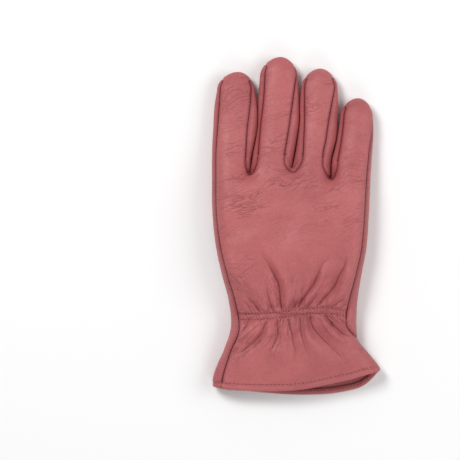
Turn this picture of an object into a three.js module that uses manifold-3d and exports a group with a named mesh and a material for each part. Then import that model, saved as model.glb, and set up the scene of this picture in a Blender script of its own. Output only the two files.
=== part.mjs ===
// Leather work glove for the right hand, lying palm down. Millimetres, +Z up, fingers towards +Y.
import * as THREE from "three";
import { mergeVertices } from "three/addons/utils/BufferGeometryUtils.js";
import Module from "manifold-3d";

// Driving dimensions
const LEATHER = 1.2;            // thickness of the leather
const SEAM_GAP = 0.42;          // clearance between two sewn pieces
const BINDING_THICKNESS = 2.1;  // the rolled edge round the mouth
const BINDING_SHARE = 0.024;    // its height as a share of the hand's length
const TOP_ROUND = 12.5;         // plan distance from the edge to the full height above
const UNDER_ROUND = 9;          // plan distance from the edge to the flat underside
const THUMB_HEIGHT = 10.5;      // height of the flattened thumb pocket
const THUMB_ROUND = 8;          // plan distance from its edge to its full height
const PALM_CLEARANCE = 1;       // space between the thumb pocket and the palm above it
const PALM_SLOPE = 13;          // plan distance in which the palm comes down beside the thumb
const EDGE_LIFT = 0.4;          // share of that lift which reaches the side edges
const WRAP_REACH = 6.3;         // how far a side panel runs on under the glove
const WRAP_SHARE = 0.3;         // the same on a narrow finger, as a share of its width
const HOLE_DEPTH = 15;          // height of the cutter for the hole under the thumb
const ELASTIC_THICKNESS = 1;
const ELASTIC_HALF_WIDTH = 3.2;
const ELASTIC_GAP = 1.5;        // from the inside of the back to the elastic
const FOLD_REACH = 1.1;         // where a gather has faded out, in lengths of its path
const CENTRE_SHIFT = { x: 0.657, y: 0.146 };  // brings the middle of the whole glove over the origin

// Mesh steps
const TOP_COLUMNS = 6;
const UNDER_COLUMNS = 3;
const SIDE_COLUMNS = 3;
const HAND_ROWS = 24;
const FINGER_ROWS = 8;
const TIP_ANGLES = [30, 55, 74];
const THUMB_COLUMNS = 8;
const ELASTIC_COLUMNS = 20;
const SNAP = 2000;              // points that agree to one part in this of a millimetre are shared

// Sides of the hand: edge of the outline, and how far the seam with the back lies inside it
const HAND_LEFT = [
  { y: -111.4, edge: -57.6, seam: 5.7 },
  { y: -104.9, edge: -57.8, seam: 6.2 },
  { y: -96.6, edge: -55.1, seam: 5.5 },
  { y: -85.6, edge: -50.2, seam: 4.2 },
  { y: -69.7, edge: -45.3, seam: 5.2 },
  { y: -51.1, edge: -46.9, seam: 3.8 },
  { y: -33.8, edge: -51.5, seam: 3.2 },
  { y: -13.1, edge: -55.8, seam: 2.5 },
  { y: 11.0, edge: -58.2, seam: 2.1 },
  { y: 37.3, edge: -58.4, seam: 2.1 },
];
const HAND_RIGHT = [
  { y: -99.6, edge: 58.3, seam: -2.8 },
  { y: -96.6, edge: 56.9, seam: -2.8 },
  { y: -86.9, edge: 49.0, seam: -2.4 },
  { y: -78.7, edge: 42.6, seam: -1.0 },
  { y: -68.3, edge: 41.5, seam: 6.0 },
  { y: -62.1, edge: 41.5, seam: 7.4 },
  { y: -51.1, edge: 42.1, seam: 6.0 },
  { y: -33.8, edge: 44.8, seam: 3.8 },
  { y: -13.1, edge: 48.5, seam: 3.1 },
  { y: 34.5, edge: 51.2, seam: 2.4 },
];

// Where the mouth is divided into the four strips that run up to the fingers
const STRIP_EDGES = [-57.6, -33, -4.5, 24, 58.3];

// Edge of the mouth, seen from above, on the back and on the palm side
const MOUTH = [
  { x: -57.6, back: -111.4, palm: -111.4 },
  { x: -44.5, back: -113.2, palm: -113.6 },
  { x: -11.4, back: -113.9, palm: -115.9 },
  { x: 5.9, back: -112.5, palm: -116.3 },
  { x: 23.1, back: -109.0, palm: -115.6 },
  { x: 36.9, back: -105.9, palm: -113.2 },
  { x: 45.2, back: -103.4, palm: -110.7 },
  { x: 51.4, back: -101.7, palm: -106.3 },
  { x: 58.3, back: -99.6, palm: -99.6 },
];

// Fingers from the index to the little finger: both edges of the outline with their seams,
// from the web to where the tip rounds off
const FINGERS = [
  {
    tip: { x: -41.1, y: 105.9 },
    rows: [
      { left: -58.4, leftY: 37.3, leftSeam: 2.1, right: -31.9, rightY: 37.6, rightSeam: 0 },
      { left: -58.4, leftY: 46.9, leftSeam: 2.1, right: -31.6, rightY: 46.9, rightSeam: 3.9 },
      { left: -58.2, leftY: 55.9, leftSeam: 2.3, right: -29.8, rightY: 55.9, rightSeam: 5.2 },
      { left: -57.5, leftY: 67.6, leftSeam: 2.5, right: -27.4, rightY: 67.6, rightSeam: 6.4 },
      { left: -56.8, leftY: 81.4, leftSeam: 2.8, right: -27.0, rightY: 81.4, rightSeam: 5.5 },
      { left: -54.9, leftY: 94.0, leftSeam: 1.8, right: -29.2, rightY: 94.0, rightSeam: 2.2 },
    ],
  },
  {
    tip: { x: -11.6, y: 116.3 },
    rows: [
      { left: -31.9, leftY: 37.6, leftSeam: 0, right: -3.1, rightY: 40.7, rightSeam: 0 },
      { left: -30.4, leftY: 49.0, leftSeam: 3.4, right: -2.4, rightY: 49.0, rightSeam: 4.6 },
      { left: -28.4, leftY: 59.3, leftSeam: 2.9, right: -0.1, rightY: 59.3, rightSeam: 6.6 },
      { left: -26.4, leftY: 71.8, leftSeam: 2.3, right: 1.4, rightY: 71.8, rightSeam: 6.6 },
      { left: -26.3, leftY: 86.9, leftSeam: 3.4, right: 1.6, rightY: 86.9, rightSeam: 4.8 },
      { left: -24.9, leftY: 103.5, leftSeam: 2.2, right: 0.8, rightY: 103.5, rightSeam: 1.0 },
    ],
  },
  {
    tip: { x: 15.7, y: 108.3 },
    rows: [
      { left: -3.1, leftY: 40.7, leftSeam: 0, right: 23.8, rightY: 34.2, rightSeam: 0 },
      { left: -1.6, leftY: 49.0, leftSeam: 3.4, right: 23.7, rightY: 46.9, rightSeam: 4.6 },
      { left: 0.7, leftY: 59.3, leftSeam: 3.4, right: 26.1, rightY: 59.3, rightSeam: 6.2 },
      { left: 2.2, leftY: 71.8, leftSeam: 3.4, right: 28.0, rightY: 71.8, rightSeam: 6.2 },
      { left: 2.6, leftY: 83.5, leftSeam: 3.0, right: 29.0, rightY: 83.5, rightSeam: 4.3 },
      { left: 3.2, leftY: 94.5, leftSeam: 1.6, right: 28.6, rightY: 94.5, rightSeam: 1.6 },
    ],
  },
  {
    tip: { x: 42.4, y: 87.8 },
    rows: [
      { left: 23.8, leftY: 34.2, leftSeam: 0, right: 51.2, rightY: 34.5, rightSeam: 2.4 },
      { left: 24.4, leftY: 44.2, leftSeam: 3.4, right: 51.9, rightY: 44.2, rightSeam: 2.1 },
      { left: 26.7, leftY: 54.4, leftSeam: 4.4, right: 52.6, rightY: 54.4, rightSeam: 1.7 },
      { left: 28.8, leftY: 65.0, leftSeam: 3.4, right: 53.2, rightY: 65.0, rightSeam: 0.6 },
      { left: 30.2, leftY: 75.2, leftSeam: 2.0, right: 53.1, rightY: 75.2, rightSeam: 0 },
    ],
  },
];

// Height of the side edges and of the back along the glove
const HEIGHTS = [
  { y: -117, edge: 7.0, top: 16.0 },
  { y: -100, edge: 7.5, top: 17.5 },
  { y: -80, edge: 8.0, top: 20.5 },
  { y: -61, edge: 8.5, top: 20.5 },
  { y: -42, edge: 9.5, top: 25.0 },
  { y: -10, edge: 10.5, top: 26.5 },
  { y: 20, edge: 10.0, top: 25.5 },
  { y: 40, edge: 9.0, top: 22.0 },
  { y: 60, edge: 7.8, top: 17.8 },
  { y: 85, edge: 7.2, top: 15.8 },
  { y: 117, edge: 7.0, top: 15.0 },
];

// Thumb pocket from its tip to the foot of its stitched base. edge is the height of its side as
// a share of the pocket, and sag bends a row towards the wrist. The hole in the palm starts at HOLE_ROW.
const THUMB = [
  { left: -18.2, leftY: 39.7, right: -14.2, rightY: 39.7, sag: 0, edge: 0.5 },
  { left: -23.5, leftY: 37.6, right: -8.8, rightY: 37.8, sag: 0, edge: 0.5 },
  { left: -28.5, leftY: 33.2, right: -3.4, rightY: 33.2, sag: 0, edge: 0.5 },
  { left: -32.2, leftY: 26.0, right: -0.8, rightY: 26.0, sag: 0, edge: 0.5 },
  { left: -36.0, leftY: 16.5, right: -0.3, rightY: 14.5, sag: 1, edge: 0.5 },
  { left: -41.4, leftY: 4.1, right: -0.3, rightY: -2.0, sag: 2, edge: 0.5 },
  { left: -46.5, leftY: -4.5, right: 0.0, rightY: -18.0, sag: 4, edge: 0.5 },
  { left: -51.6, leftY: -11.7, right: 0.3, rightY: -34.5, sag: 6.5, edge: 0.5 },
  { left: -49.0, leftY: -21.0, right: 0.2, rightY: -43.0, sag: 5, edge: 0.8 },
  { left: -45.5, leftY: -31.0, right: -0.8, rightY: -52.5, sag: 3, edge: 1 },
  { left: -40.6, leftY: -43.0, right: -3.2, rightY: -59.5, sag: 1.5, edge: 1 },
  { left: -34.0, leftY: -54.0, right: -7.6, rightY: -63.4, sag: 0, edge: 1 },
  { left: -25.5, leftY: -60.0, right: -12.0, rightY: -64.4, sag: 0, edge: 1 },
];
const HOLE_ROW = 7;
const BASE_LOW_Y = -62;         // where the pocket has lost its height at the foot of its base
const BASE_HIGH_Y = -34;

// Centre line of the elastic across the back of the wrist
const ELASTIC = [
  { x: -39.0, y: -62.6 },
  { x: -23.8, y: -62.2 },
  { x: -10.0, y: -61.0 },
  { x: 2.4, y: -59.2 },
  { x: 14.8, y: -58.2 },
  { x: 24.5, y: -58.6 },
  { x: 33.0, y: -60.2 },
];
const ELASTIC_TROUGH = 2.0;
const TROUGH_WIDTH = 5.5;

// Gathers: valleys that start at the elastic, deepest there, and fade out at their far end
const FOLDS = [
  { x: -17.6, y: -58.0, midX: -20.4, midY: -44.2, endX: -23.8, endY: -30.4, width: 4.0, depth: 2.4 },
  { x: -10.7, y: -56.6, midX: -12.1, midY: -41.4, endX: -25.9, endY: -16.6, width: 4.5, depth: 3.4 },
  { x: -1.7, y: -55.2, midX: 9.3, midY: -39.3, endX: 17.6, endY: -24.8, width: 4.5, depth: 3.8 },
  { x: 13.5, y: -53.1, midX: 24.5, midY: -41.4, endX: 38.3, endY: -13.8, width: 5.5, depth: 4.2 },
  { x: -27.9, y: -58.0, midX: -32.1, midY: -50.4, endX: -40.4, endY: -45.5, width: 4.0, depth: 2.2 },
  { x: 26.6, y: -55.9, midX: 31.4, midY: -51.1, endX: 34.8, endY: -48.3, width: 4.0, depth: 2.0 },
  { x: -21.0, y: -64.9, midX: -27.9, midY: -75.9, endX: -44.5, endY: -89.7, width: 4.0, depth: 2.6 },
  { x: -14.1, y: -64.9, midX: -14.1, midY: -76.6, endX: -23.1, endY: -89.0, width: 4.0, depth: 2.4 },
  { x: -5.9, y: -64.9, midX: -3.8, midY: -82.1, endX: -1.0, endY: -102.8, width: 4.0, depth: 2.0 },
  { x: 9.3, y: -62.1, midX: 14.8, midY: -73.8, endX: 35.5, endY: -93.8, width: 5.5, depth: 3.6 },
  { x: 20.4, y: -61.4, midX: 25.9, midY: -69.0, endX: 39.7, endY: -75.2, width: 4.0, depth: 2.6 },
];

// Small functions
const FLATNESS = 2.6;
const mix = (a, b, t) => a + (b - a) * t;
const clamp = (v) => Math.min(1, Math.max(0, v));
const ease = (v) => clamp(v) ** 2 * (3 - 2 * clamp(v));
const round = (v) => Math.sqrt(1 - (1 - clamp(v)) ** 2);
const flatRound = (v) => (1 - (1 - clamp(v)) ** FLATNESS) ** (1 / FLATNESS);

// Smooth value of one column of a table whose rows are ordered by another column
function lookup(table, by, at, column) {
  const last = table.length - 1;
  const value = (i) => table[Math.min(last, Math.max(0, i))][column];
  const place = (i) => table[Math.min(last, Math.max(0, i))][by];
  let i = 0;
  while (i < last - 1 && at > place(i + 1)) i += 1;
  const span = place(i + 1) - place(i);
  const t = clamp((at - place(i)) / span);
  const slope = (k) => (k <= 0 || k >= last ? (value(i + 1) - value(i)) / span
    : (value(k + 1) - value(k - 1)) / (place(k + 1) - place(k - 1)));
  const bend = t * t * (3 - 2 * t);
  const rise = span * t * (1 - t);
  return mix(value(i), value(i + 1), bend) + rise * ((1 - t) * slope(i) - t * slope(i + 1));
}

function distanceToPath(x, y, path) {
  let best = Infinity;
  for (let i = 0; i + 1 < path.length; i += 1) {
    const [a, b] = [path[i], path[i + 1]];
    const [dx, dy] = [b.x - a.x, b.y - a.y];
    const along = clamp(((x - a.x) * dx + (y - a.y) * dy) / (dx * dx + dy * dy || 1));
    best = Math.min(best, Math.hypot(x - a.x - along * dx, y - a.y - along * dy));
  }
  return best;
}

function isInside(x, y, loop) {
  let inside = false;
  loop.forEach((a, i) => {
    const b = loop[(i + 1) % loop.length];
    if (a.y > y !== b.y > y && x < a.x + ((y - a.y) * (b.x - a.x)) / (b.y - a.y)) inside = !inside;
  });
  return inside;
}

// Rows of one finger: the table refined, then a quarter ellipse on each side up to the tip
function fingerRows(finger, place) {
  const rows = [];
  const last = finger.rows.length - 1;
  const columns = Object.keys(finger.rows[0]);
  const numbered = finger.rows.map((row, index) => ({ ...row, index }));
  for (let i = 0; i <= FINGER_ROWS; i += 1) {
    const at = (i / FINGER_ROWS) * last;
    const row = {};
    columns.forEach((column) => (row[column] = lookup(numbered, "index", at, column)));
    row.leftRound = place === 0 ? 1 : clamp(i / 2);
    row.rightRound = place === 3 ? 1 : clamp(i / 2);
    rows.push(row);
  }
  const base = finger.rows[last];
  for (const angle of TIP_ANGLES) {
    const [c, s] = [Math.cos(THREE.MathUtils.degToRad(angle)), Math.sin(THREE.MathUtils.degToRad(angle))];
    rows.push({
      left: mix(finger.tip.x, base.left, c),
      leftY: mix(base.leftY, finger.tip.y, s),
      leftSeam: base.leftSeam * c * c,
      right: mix(finger.tip.x, base.right, c),
      rightY: mix(base.rightY, finger.tip.y, s),
      rightSeam: base.rightSeam * c * c,
      leftRound: 1,
      rightRound: 1,
    });
  }
  return rows;
}

const fingers = FINGERS.map(fingerRows);

// Rows of the four strips of the hand, from the mouth to the webs
function handRows(strip) {
  const rows = [];
  const web = fingers[strip][0];
  for (let i = 0; i <= HAND_ROWS; i += 1) {
    const t = i === 0 ? 0 : mix(BINDING_SHARE, 1, (i - 1) / (HAND_ROWS - 1));
    const row = { t, web, leftRound: strip === 0 ? 1 : 0, rightRound: strip === 3 ? 1 : 0 };
    row.left = mix(STRIP_EDGES[strip], web.left, t);
    row.right = mix(STRIP_EDGES[strip + 1], web.right, t);
    row.leftSeam = 0;
    row.rightSeam = 0;
    if (strip === 0) {
      const y = mix(HAND_LEFT[0].y, web.leftY, t);
      row.left = lookup(HAND_LEFT, "y", y, "edge");
      row.leftSeam = lookup(HAND_LEFT, "y", y, "seam");
    }
    if (strip === 3) {
      const y = mix(HAND_RIGHT[0].y, web.rightY, t);
      row.right = lookup(HAND_RIGHT, "y", y, "edge");
      row.rightSeam = lookup(HAND_RIGHT, "y", y, "seam");
    }
    rows.push(row);
  }
  return rows;
}

const hand = [0, 1, 2, 3].map(handRows);

// Plan outline of the glove, open at the mouth
function handSide(table, webY, strip, side) {
  return hand[strip].map((row) => ({ x: row[side], y: mix(table[0].y, webY, row.t) }));
}

function gloveOutline() {
  const path = handSide(HAND_LEFT, fingers[0][0].leftY, 0, "left");
  fingers.forEach((rows) => {
    rows.slice(1).forEach((row) => path.push({ x: row.left, y: row.leftY }));
    [...rows].reverse().forEach((row) => path.push({ x: row.right, y: row.rightY }));
  });
  handSide(HAND_RIGHT, fingers[3][0].rightY, 3, "right").reverse().slice(1).forEach((p) => path.push(p));
  return path;
}

const outline = gloveOutline();
const thumbOutline = [
  ...THUMB.map((row) => ({ x: row.left, y: row.leftY })),
  ...[...THUMB].reverse().map((row) => ({ x: row.right, y: row.rightY })),
];
const thumbRim = [...thumbOutline, thumbOutline[0]];

// Height of the thumb pocket, which runs out to nothing at the foot of its base
const thumbHeight = (y) => THUMB_HEIGHT * ease((y - BASE_LOW_Y) / (BASE_HIGH_Y - BASE_LOW_Y));

// How far the thumb pocket lifts the palm off the surface
function palmLift(x, y) {
  const distance = distanceToPath(x, y, thumbRim);
  const outside = isInside(x, y, thumbOutline) ? -distance : distance;
  const full = thumbHeight(y) * (1 + PALM_CLEARANCE / THUMB_HEIGHT);
  return full * (1 - ease((outside + 1) / PALM_SLOPE));
}

function foldDepth(x, y) {
  let depth = 0;
  for (const fold of FOLDS) {
    const path = [
      { x: fold.x, y: fold.y },
      { x: fold.midX, y: fold.midY },
      { x: fold.endX, y: fold.endY },
    ];
    const reach = Math.hypot(fold.endX - fold.x, fold.endY - fold.y);
    const fade = 1 - ease(Math.hypot(x - fold.x, y - fold.y) / (FOLD_REACH * reach));
    depth += fold.depth * fade * (1 - ease(distanceToPath(x, y, path) / fold.width));
  }
  const trough = 1 - ease(distanceToPath(x, y, ELASTIC) / TROUGH_WIDTH);
  return depth + ELASTIC_TROUGH * trough;
}

const edgeHeight = (x, y) => lookup(HEIGHTS, "y", y, "edge") + palmLift(x, y) * EDGE_LIFT;

function topHeight(x, y) {
  const share = round(distanceToPath(x, y, outline) / TOP_ROUND);
  const top = lookup(HEIGHTS, "y", y, "top");
  return mix(edgeHeight(x, y), top - foldDepth(x, y), share);
}

function underHeight(x, y) {
  const share = flatRound(distanceToPath(x, y, outline) / UNDER_ROUND);
  return mix(edgeHeight(x, y), palmLift(x, y), share);
}

// Plan distance from an edge for a length measured along the rounded surface
function planDistance(length, radius) {
  const u = Math.abs(length) / radius;
  return radius > 0 && u < 1 ? radius * (2 * u * u - u ** 3) : Math.abs(length);
}

// One point of a row: length runs over the top from the left edge, and under the glove where negative
function rowPoint(row, length, under) {
  const width = row.right - row.left;
  const reach = Math.min(TOP_ROUND, width / 2);
  const offset = length < width / 2 ? planDistance(length, reach * row.leftRound)
    : width - planDistance(width - length, reach * row.rightRound);
  const x = row.left + offset;
  const across = offset / width;
  let y = row.web ? mix(row.web.leftY, row.web.rightY, across) : mix(row.leftY, row.rightY, across);
  const below = under || length < 0 || length > width;
  if (row.web) y = mix(lookup(MOUTH, "x", x, below ? "palm" : "back"), y, row.t);
  return new THREE.Vector3(x, y, below ? underHeight(x, y) : topHeight(x, y));
}

function spread(count, make) {
  return Array.from({ length: count + 1 }, (_, i) => make(i / count));
}

// The four stretches of a row: over the top, down each side and along the underside
function rowPoints(row) {
  const width = row.right - row.left;
  const wrap = Math.min(WRAP_REACH, width * WRAP_SHARE);
  const leftWrap = wrap * row.leftRound;
  const rightWrap = wrap * row.rightRound;
  const [leftSeam, rightSeam] = [row.leftSeam, row.rightSeam];
  const leftEnd = rowPoint(row, -leftWrap, true);
  const rightEnd = rowPoint(row, width + rightWrap, true);
  return {
    top: spread(TOP_COLUMNS, (t) => rowPoint(row, mix(leftSeam, width - rightSeam, t), false)),
    left: spread(SIDE_COLUMNS, (t) => rowPoint(row, mix(leftSeam, -leftWrap, t), false)),
    right: spread(SIDE_COLUMNS, (t) => rowPoint(row, mix(width - rightSeam, width + rightWrap, t), false)),
    under: spread(UNDER_COLUMNS, (t) => {
      const x = mix(leftEnd.x, rightEnd.x, t);
      const offset = x - row.left;
      return rowPoint({ ...row, leftRound: 0, rightRound: 0 }, offset, true);
    }),
  };
}

// A sheet is a list of triangles over shared points
const points = [];
const pointIndex = new Map();
function indexOf(point) {
  const key = [point.x, point.y, point.z].map((v) => Math.round(v * SNAP)).join();
  if (!pointIndex.has(key)) {
    pointIndex.set(key, points.length);
    points.push(point);
  }
  return pointIndex.get(key);
}

function addRow(sheet, near, far, flip) {
  for (let i = 0; i + 1 < near.length; i += 1) {
    const corners = [near[i], near[i + 1], far[i + 1], far[i]].map(indexOf);
    if (flip) corners.reverse();
    const triangles = [[0, 1, 2], [0, 2, 3]].map((triple) => triple.map((k) => corners[k]));
    sheet.push(...triangles.filter(([a, b, c]) => a !== b && b !== c && a !== c));
  }
}

const tipPoints = new Set();
const sheets = { back: [], palm: [], middle_ring_front: [], cuff_binding: [] };

function buildHand() {
  const grid = hand.map((rows) => rows.map(rowPoints));
  for (let i = 0; i < HAND_ROWS; i += 1) {
    const backSheet = i === 0 ? sheets.cuff_binding : sheets.back;
    const palmSheet = i === 0 ? sheets.cuff_binding : sheets.palm;
    grid.forEach((rows, strip) => {
      const middle = strip === 1 || strip === 2;
      const underSheet = middle && i === HAND_ROWS - 1 ? sheets.middle_ring_front : palmSheet;
      addRow(backSheet, rows[i].top, rows[i + 1].top, false);
      addRow(underSheet, rows[i].under, rows[i + 1].under, true);
      if (strip === 0) addRow(palmSheet, rows[i].left, rows[i + 1].left, true);
      if (strip === 3) addRow(palmSheet, rows[i].right, rows[i + 1].right, false);
    });
  }
}

function buildFingers() {
  fingers.forEach((rows, finger) => {
    const front = finger === 1 || finger === 2 ? sheets.middle_ring_front : sheets.palm;
    const grid = rows.map(rowPoints);
    for (let i = 0; i + 1 < grid.length; i += 1) {
      addRow(sheets.back, grid[i].top, grid[i + 1].top, false);
      addRow(front, grid[i].under, grid[i + 1].under, true);
      addRow(front, grid[i].left, grid[i + 1].left, true);
      addRow(front, grid[i].right, grid[i + 1].right, false);
    }
    Object.values(grid[grid.length - 1]).flat().forEach((point) => tipPoints.add(indexOf(point)));
  });
}

function pointNormals(triangles) {
  const normals = new Map();
  for (const triangle of triangles) {
    const [a, b, c] = triangle.map((k) => points[k]);
    const normal = new THREE.Vector3().subVectors(b, a).cross(new THREE.Vector3().subVectors(c, a));
    for (const k of triangle) {
      if (!normals.has(k)) normals.set(k, new THREE.Vector3());
      normals.get(k).add(normal);
    }
  }
  normals.forEach((normal) => normal.normalize());
  tipPoints.forEach((k) => normals.has(k) && normals.get(k).set(0, 1, 0));
  return normals;
}

// Border edges of a sheet, each in the direction of its own triangle
function borderEdges(triangles) {
  const edges = new Map();
  for (const [a, b, c] of triangles) {
    for (const [p, q] of [[a, b], [b, c], [c, a]]) edges.set(`${p},${q}`, [p, q]);
  }
  return [...edges.values()].filter(([p, q]) => !edges.has(`${q},${p}`));
}

// A closed wall from a sheet: its border is drawn in by half a seam gap
function wallGeometry(triangles, normals, thickness) {
  const border = borderEdges(triangles);
  const inward = new Map();
  border.flat().forEach((k) => inward.set(k, new THREE.Vector3()));
  for (const [p, q] of border) {
    const edge = new THREE.Vector3().subVectors(points[q], points[p]).normalize();
    for (const k of [p, q]) inward.get(k).add(new THREE.Vector3().crossVectors(normals.get(k), edge));
  }
  const used = [...new Set(triangles.flat())];
  const slot = new Map(used.map((k, i) => [k, i]));
  const positions = [];
  const place = (k, depth) => {
    const point = points[k].clone().addScaledVector(normals.get(k), depth);
    if (inward.has(k)) point.addScaledVector(inward.get(k).clone().normalize(), SEAM_GAP / 2);
    positions.push(point.x, point.y, Math.max(0, point.z));
  };
  used.forEach((k) => place(k, 0));
  used.forEach((k) => place(k, -thickness));
  const index = [];
  const count = used.length;
  for (const triangle of triangles) {
    const [a, b, c] = triangle.map((k) => slot.get(k));
    index.push(a, b, c, count + a, count + c, count + b);
  }
  for (const [p, q] of border) {
    const [a, b] = [slot.get(p), slot.get(q)];
    if (p < q) index.push(b, a, count + a, b, count + a, count + b);
    else index.push(b, a, count + b, a, count + a, count + b);
  }
  const geometry = new THREE.BufferGeometry();
  geometry.setAttribute("position", new THREE.Float32BufferAttribute(positions, 3));
  geometry.setIndex(index);
  return geometry;
}

// Thumb pocket: a lower layer over all its rows, and an upper layer from the tip to the hole
function thumbPoint(row, t, upper) {
  const width = Math.hypot(row.right - row.left, row.rightY - row.leftY);
  const reach = Math.min(THUMB_ROUND, width / 2);
  const length = t * width;
  const offset = length < width / 2 ? planDistance(length, reach)
    : width - planDistance(width - length, reach);
  const across = offset / width;
  const x = mix(row.left, row.right, across);
  const y = mix(row.leftY, row.rightY, across) - row.sag * 4 * across * (1 - across);
  const share = round(distanceToPath(x, y, thumbRim) / THUMB_ROUND);
  const rowHeight = thumbHeight(y);
  return new THREE.Vector3(x, y, rowHeight * mix(row.edge, upper ? 1 : 0, share));
}

function buildThumb() {
  const sheet = [];
  const lower = THUMB.map((row) => spread(THUMB_COLUMNS, (t) => thumbPoint(row, t, false)));
  const upper = THUMB.map((row) => spread(THUMB_COLUMNS, (t) => thumbPoint(row, t, true)));
  for (let i = 0; i + 1 < THUMB.length; i += 1) {
    addRow(sheet, lower[i], lower[i + 1], false);
    if (i < HOLE_ROW) addRow(sheet, upper[i], upper[i + 1], true);
  }
  return sheet;
}

// Hole in the palm, a little wider than the base of the thumb
function holeGeometry() {
  const corners = [];
  const base = THUMB.slice(HOLE_ROW);
  base.forEach((row) => corners.push({ x: row.left, y: row.leftY }));
  [...base].reverse().forEach((row) => corners.push({ x: row.right, y: row.rightY }));
  const top = base[0];
  for (let i = 1; i < THUMB_COLUMNS; i += 1) {
    const across = 1 - i / THUMB_COLUMNS;
    const sag = top.sag * 4 * across * (1 - across);
    corners.push({ x: mix(top.left, top.right, across), y: mix(top.leftY, top.rightY, across) - sag });
  }
  const wider = corners.map((corner, i) => {
    const before = corners[(i + corners.length - 1) % corners.length];
    const after = corners[(i + 1) % corners.length];
    const away = new THREE.Vector2(after.y - before.y, before.x - after.x).normalize();
    return new THREE.Vector2(corner.x, corner.y).addScaledVector(away, SEAM_GAP);
  });
  const shape = new THREE.Shape(wider);
  const geometry = new THREE.ExtrudeGeometry(shape, { depth: HOLE_DEPTH, bevelEnabled: false });
  geometry.translate(0, 0, -1);
  return geometry;
}

const wasm = await Module();
wasm.setup();

function toSolid(geometry) {
  const bare = geometry.clone();
  bare.deleteAttribute("normal");
  bare.deleteAttribute("uv");
  const merged = mergeVertices(bare, 1e-4);
  const vertProperties = new Float32Array(merged.attributes.position.array);
  const triVerts = new Uint32Array(merged.index.array);
  return new wasm.Manifold(new wasm.Mesh({ numProp: 3, vertProperties, triVerts }));
}

function toGeometry(solid) {
  const mesh = solid.getMesh();
  const geometry = new THREE.BufferGeometry();
  geometry.setAttribute("position", new THREE.Float32BufferAttribute(mesh.vertProperties, 3));
  geometry.setIndex([...mesh.triVerts]);
  return geometry;
}

// Elastic: a thin strip that follows the inside of the back
function elasticGeometry() {
  const sheet = [];
  const step = 0.2;
  const first = ELASTIC[0].x;
  const last = ELASTIC[ELASTIC.length - 1].x;
  const rows = [-1, 0, 1].map((side) => spread(ELASTIC_COLUMNS, (t) => {
    const x = mix(first, last, t);
    const y = lookup(ELASTIC, "x", x, "y") + side * ELASTIC_HALF_WIDTH;
    const slopeX = (topHeight(x + step, y) - topHeight(x - step, y)) / (2 * step);
    const slopeY = (topHeight(x, y + step) - topHeight(x, y - step)) / (2 * step);
    const normal = new THREE.Vector3(-slopeX, -slopeY, 1).normalize();
    return new THREE.Vector3(x, y, topHeight(x, y)).addScaledVector(normal, -(LEATHER + ELASTIC_GAP));
  }));
  addRow(sheet, rows[0], rows[1], false);
  addRow(sheet, rows[1], rows[2], false);
  return wallGeometry(sheet, pointNormals(sheet), ELASTIC_THICKNESS);
}

// Materials
const leather = (color) => new THREE.MeshStandardMaterial({ color, roughness: 0.62, metalness: 0 });
const elastic = new THREE.MeshStandardMaterial({ color: 0xc9b9b4, roughness: 0.9, metalness: 0 });

buildHand();
buildFingers();
const thumbSheet = buildThumb();
const gloveNormals = pointNormals(Object.values(sheets).flat());
const wholePalm = wallGeometry(sheets.palm, gloveNormals, LEATHER);
const palmGeometry = toGeometry(toSolid(wholePalm).subtract(toSolid(holeGeometry())));

const pieces = [
  ["back", wallGeometry(sheets.back, gloveNormals, LEATHER), leather(0xb8666c)],
  ["palm", palmGeometry, leather(0xb3626a)],
  ["middle_ring_front", wallGeometry(sheets.middle_ring_front, gloveNormals, LEATHER), leather(0xb06068)],
  ["thumb", wallGeometry(thumbSheet, pointNormals(thumbSheet), LEATHER), leather(0xb3626a)],
  ["cuff_binding", wallGeometry(sheets.cuff_binding, gloveNormals, BINDING_THICKNESS), leather(0xa85860)],
  ["wrist_elastic", elasticGeometry(), elastic],
];

const glove = new THREE.Group();
glove.position.set(CENTRE_SHIFT.x, CENTRE_SHIFT.y, 0);
for (const [name, geometry, material] of pieces) {
  const mesh = new THREE.Mesh(geometry, material);
  mesh.name = name;
  glove.add(mesh);
}

export default glove;
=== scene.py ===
import math

import bmesh
import bpy
import numpy as np
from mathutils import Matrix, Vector
from mathutils.bvhtree import BVHTree


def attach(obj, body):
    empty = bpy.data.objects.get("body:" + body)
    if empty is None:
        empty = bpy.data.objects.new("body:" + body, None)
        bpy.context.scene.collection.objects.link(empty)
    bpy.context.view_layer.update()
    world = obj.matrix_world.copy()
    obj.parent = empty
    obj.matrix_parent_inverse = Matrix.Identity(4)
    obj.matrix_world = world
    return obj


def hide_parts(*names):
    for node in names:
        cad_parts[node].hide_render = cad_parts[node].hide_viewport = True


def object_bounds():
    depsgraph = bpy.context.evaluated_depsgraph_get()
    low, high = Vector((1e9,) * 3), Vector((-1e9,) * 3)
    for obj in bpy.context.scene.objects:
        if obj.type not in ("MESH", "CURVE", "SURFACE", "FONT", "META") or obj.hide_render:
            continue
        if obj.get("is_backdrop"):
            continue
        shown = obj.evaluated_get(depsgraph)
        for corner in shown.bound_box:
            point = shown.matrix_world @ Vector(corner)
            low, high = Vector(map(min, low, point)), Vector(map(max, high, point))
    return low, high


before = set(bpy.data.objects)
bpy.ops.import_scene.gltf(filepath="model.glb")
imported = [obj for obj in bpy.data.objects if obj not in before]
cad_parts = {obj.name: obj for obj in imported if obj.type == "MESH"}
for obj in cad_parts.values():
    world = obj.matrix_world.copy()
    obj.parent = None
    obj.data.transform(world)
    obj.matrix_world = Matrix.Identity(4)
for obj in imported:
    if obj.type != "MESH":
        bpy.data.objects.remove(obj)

CAD_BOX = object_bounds()
MM = 0.001

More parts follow.
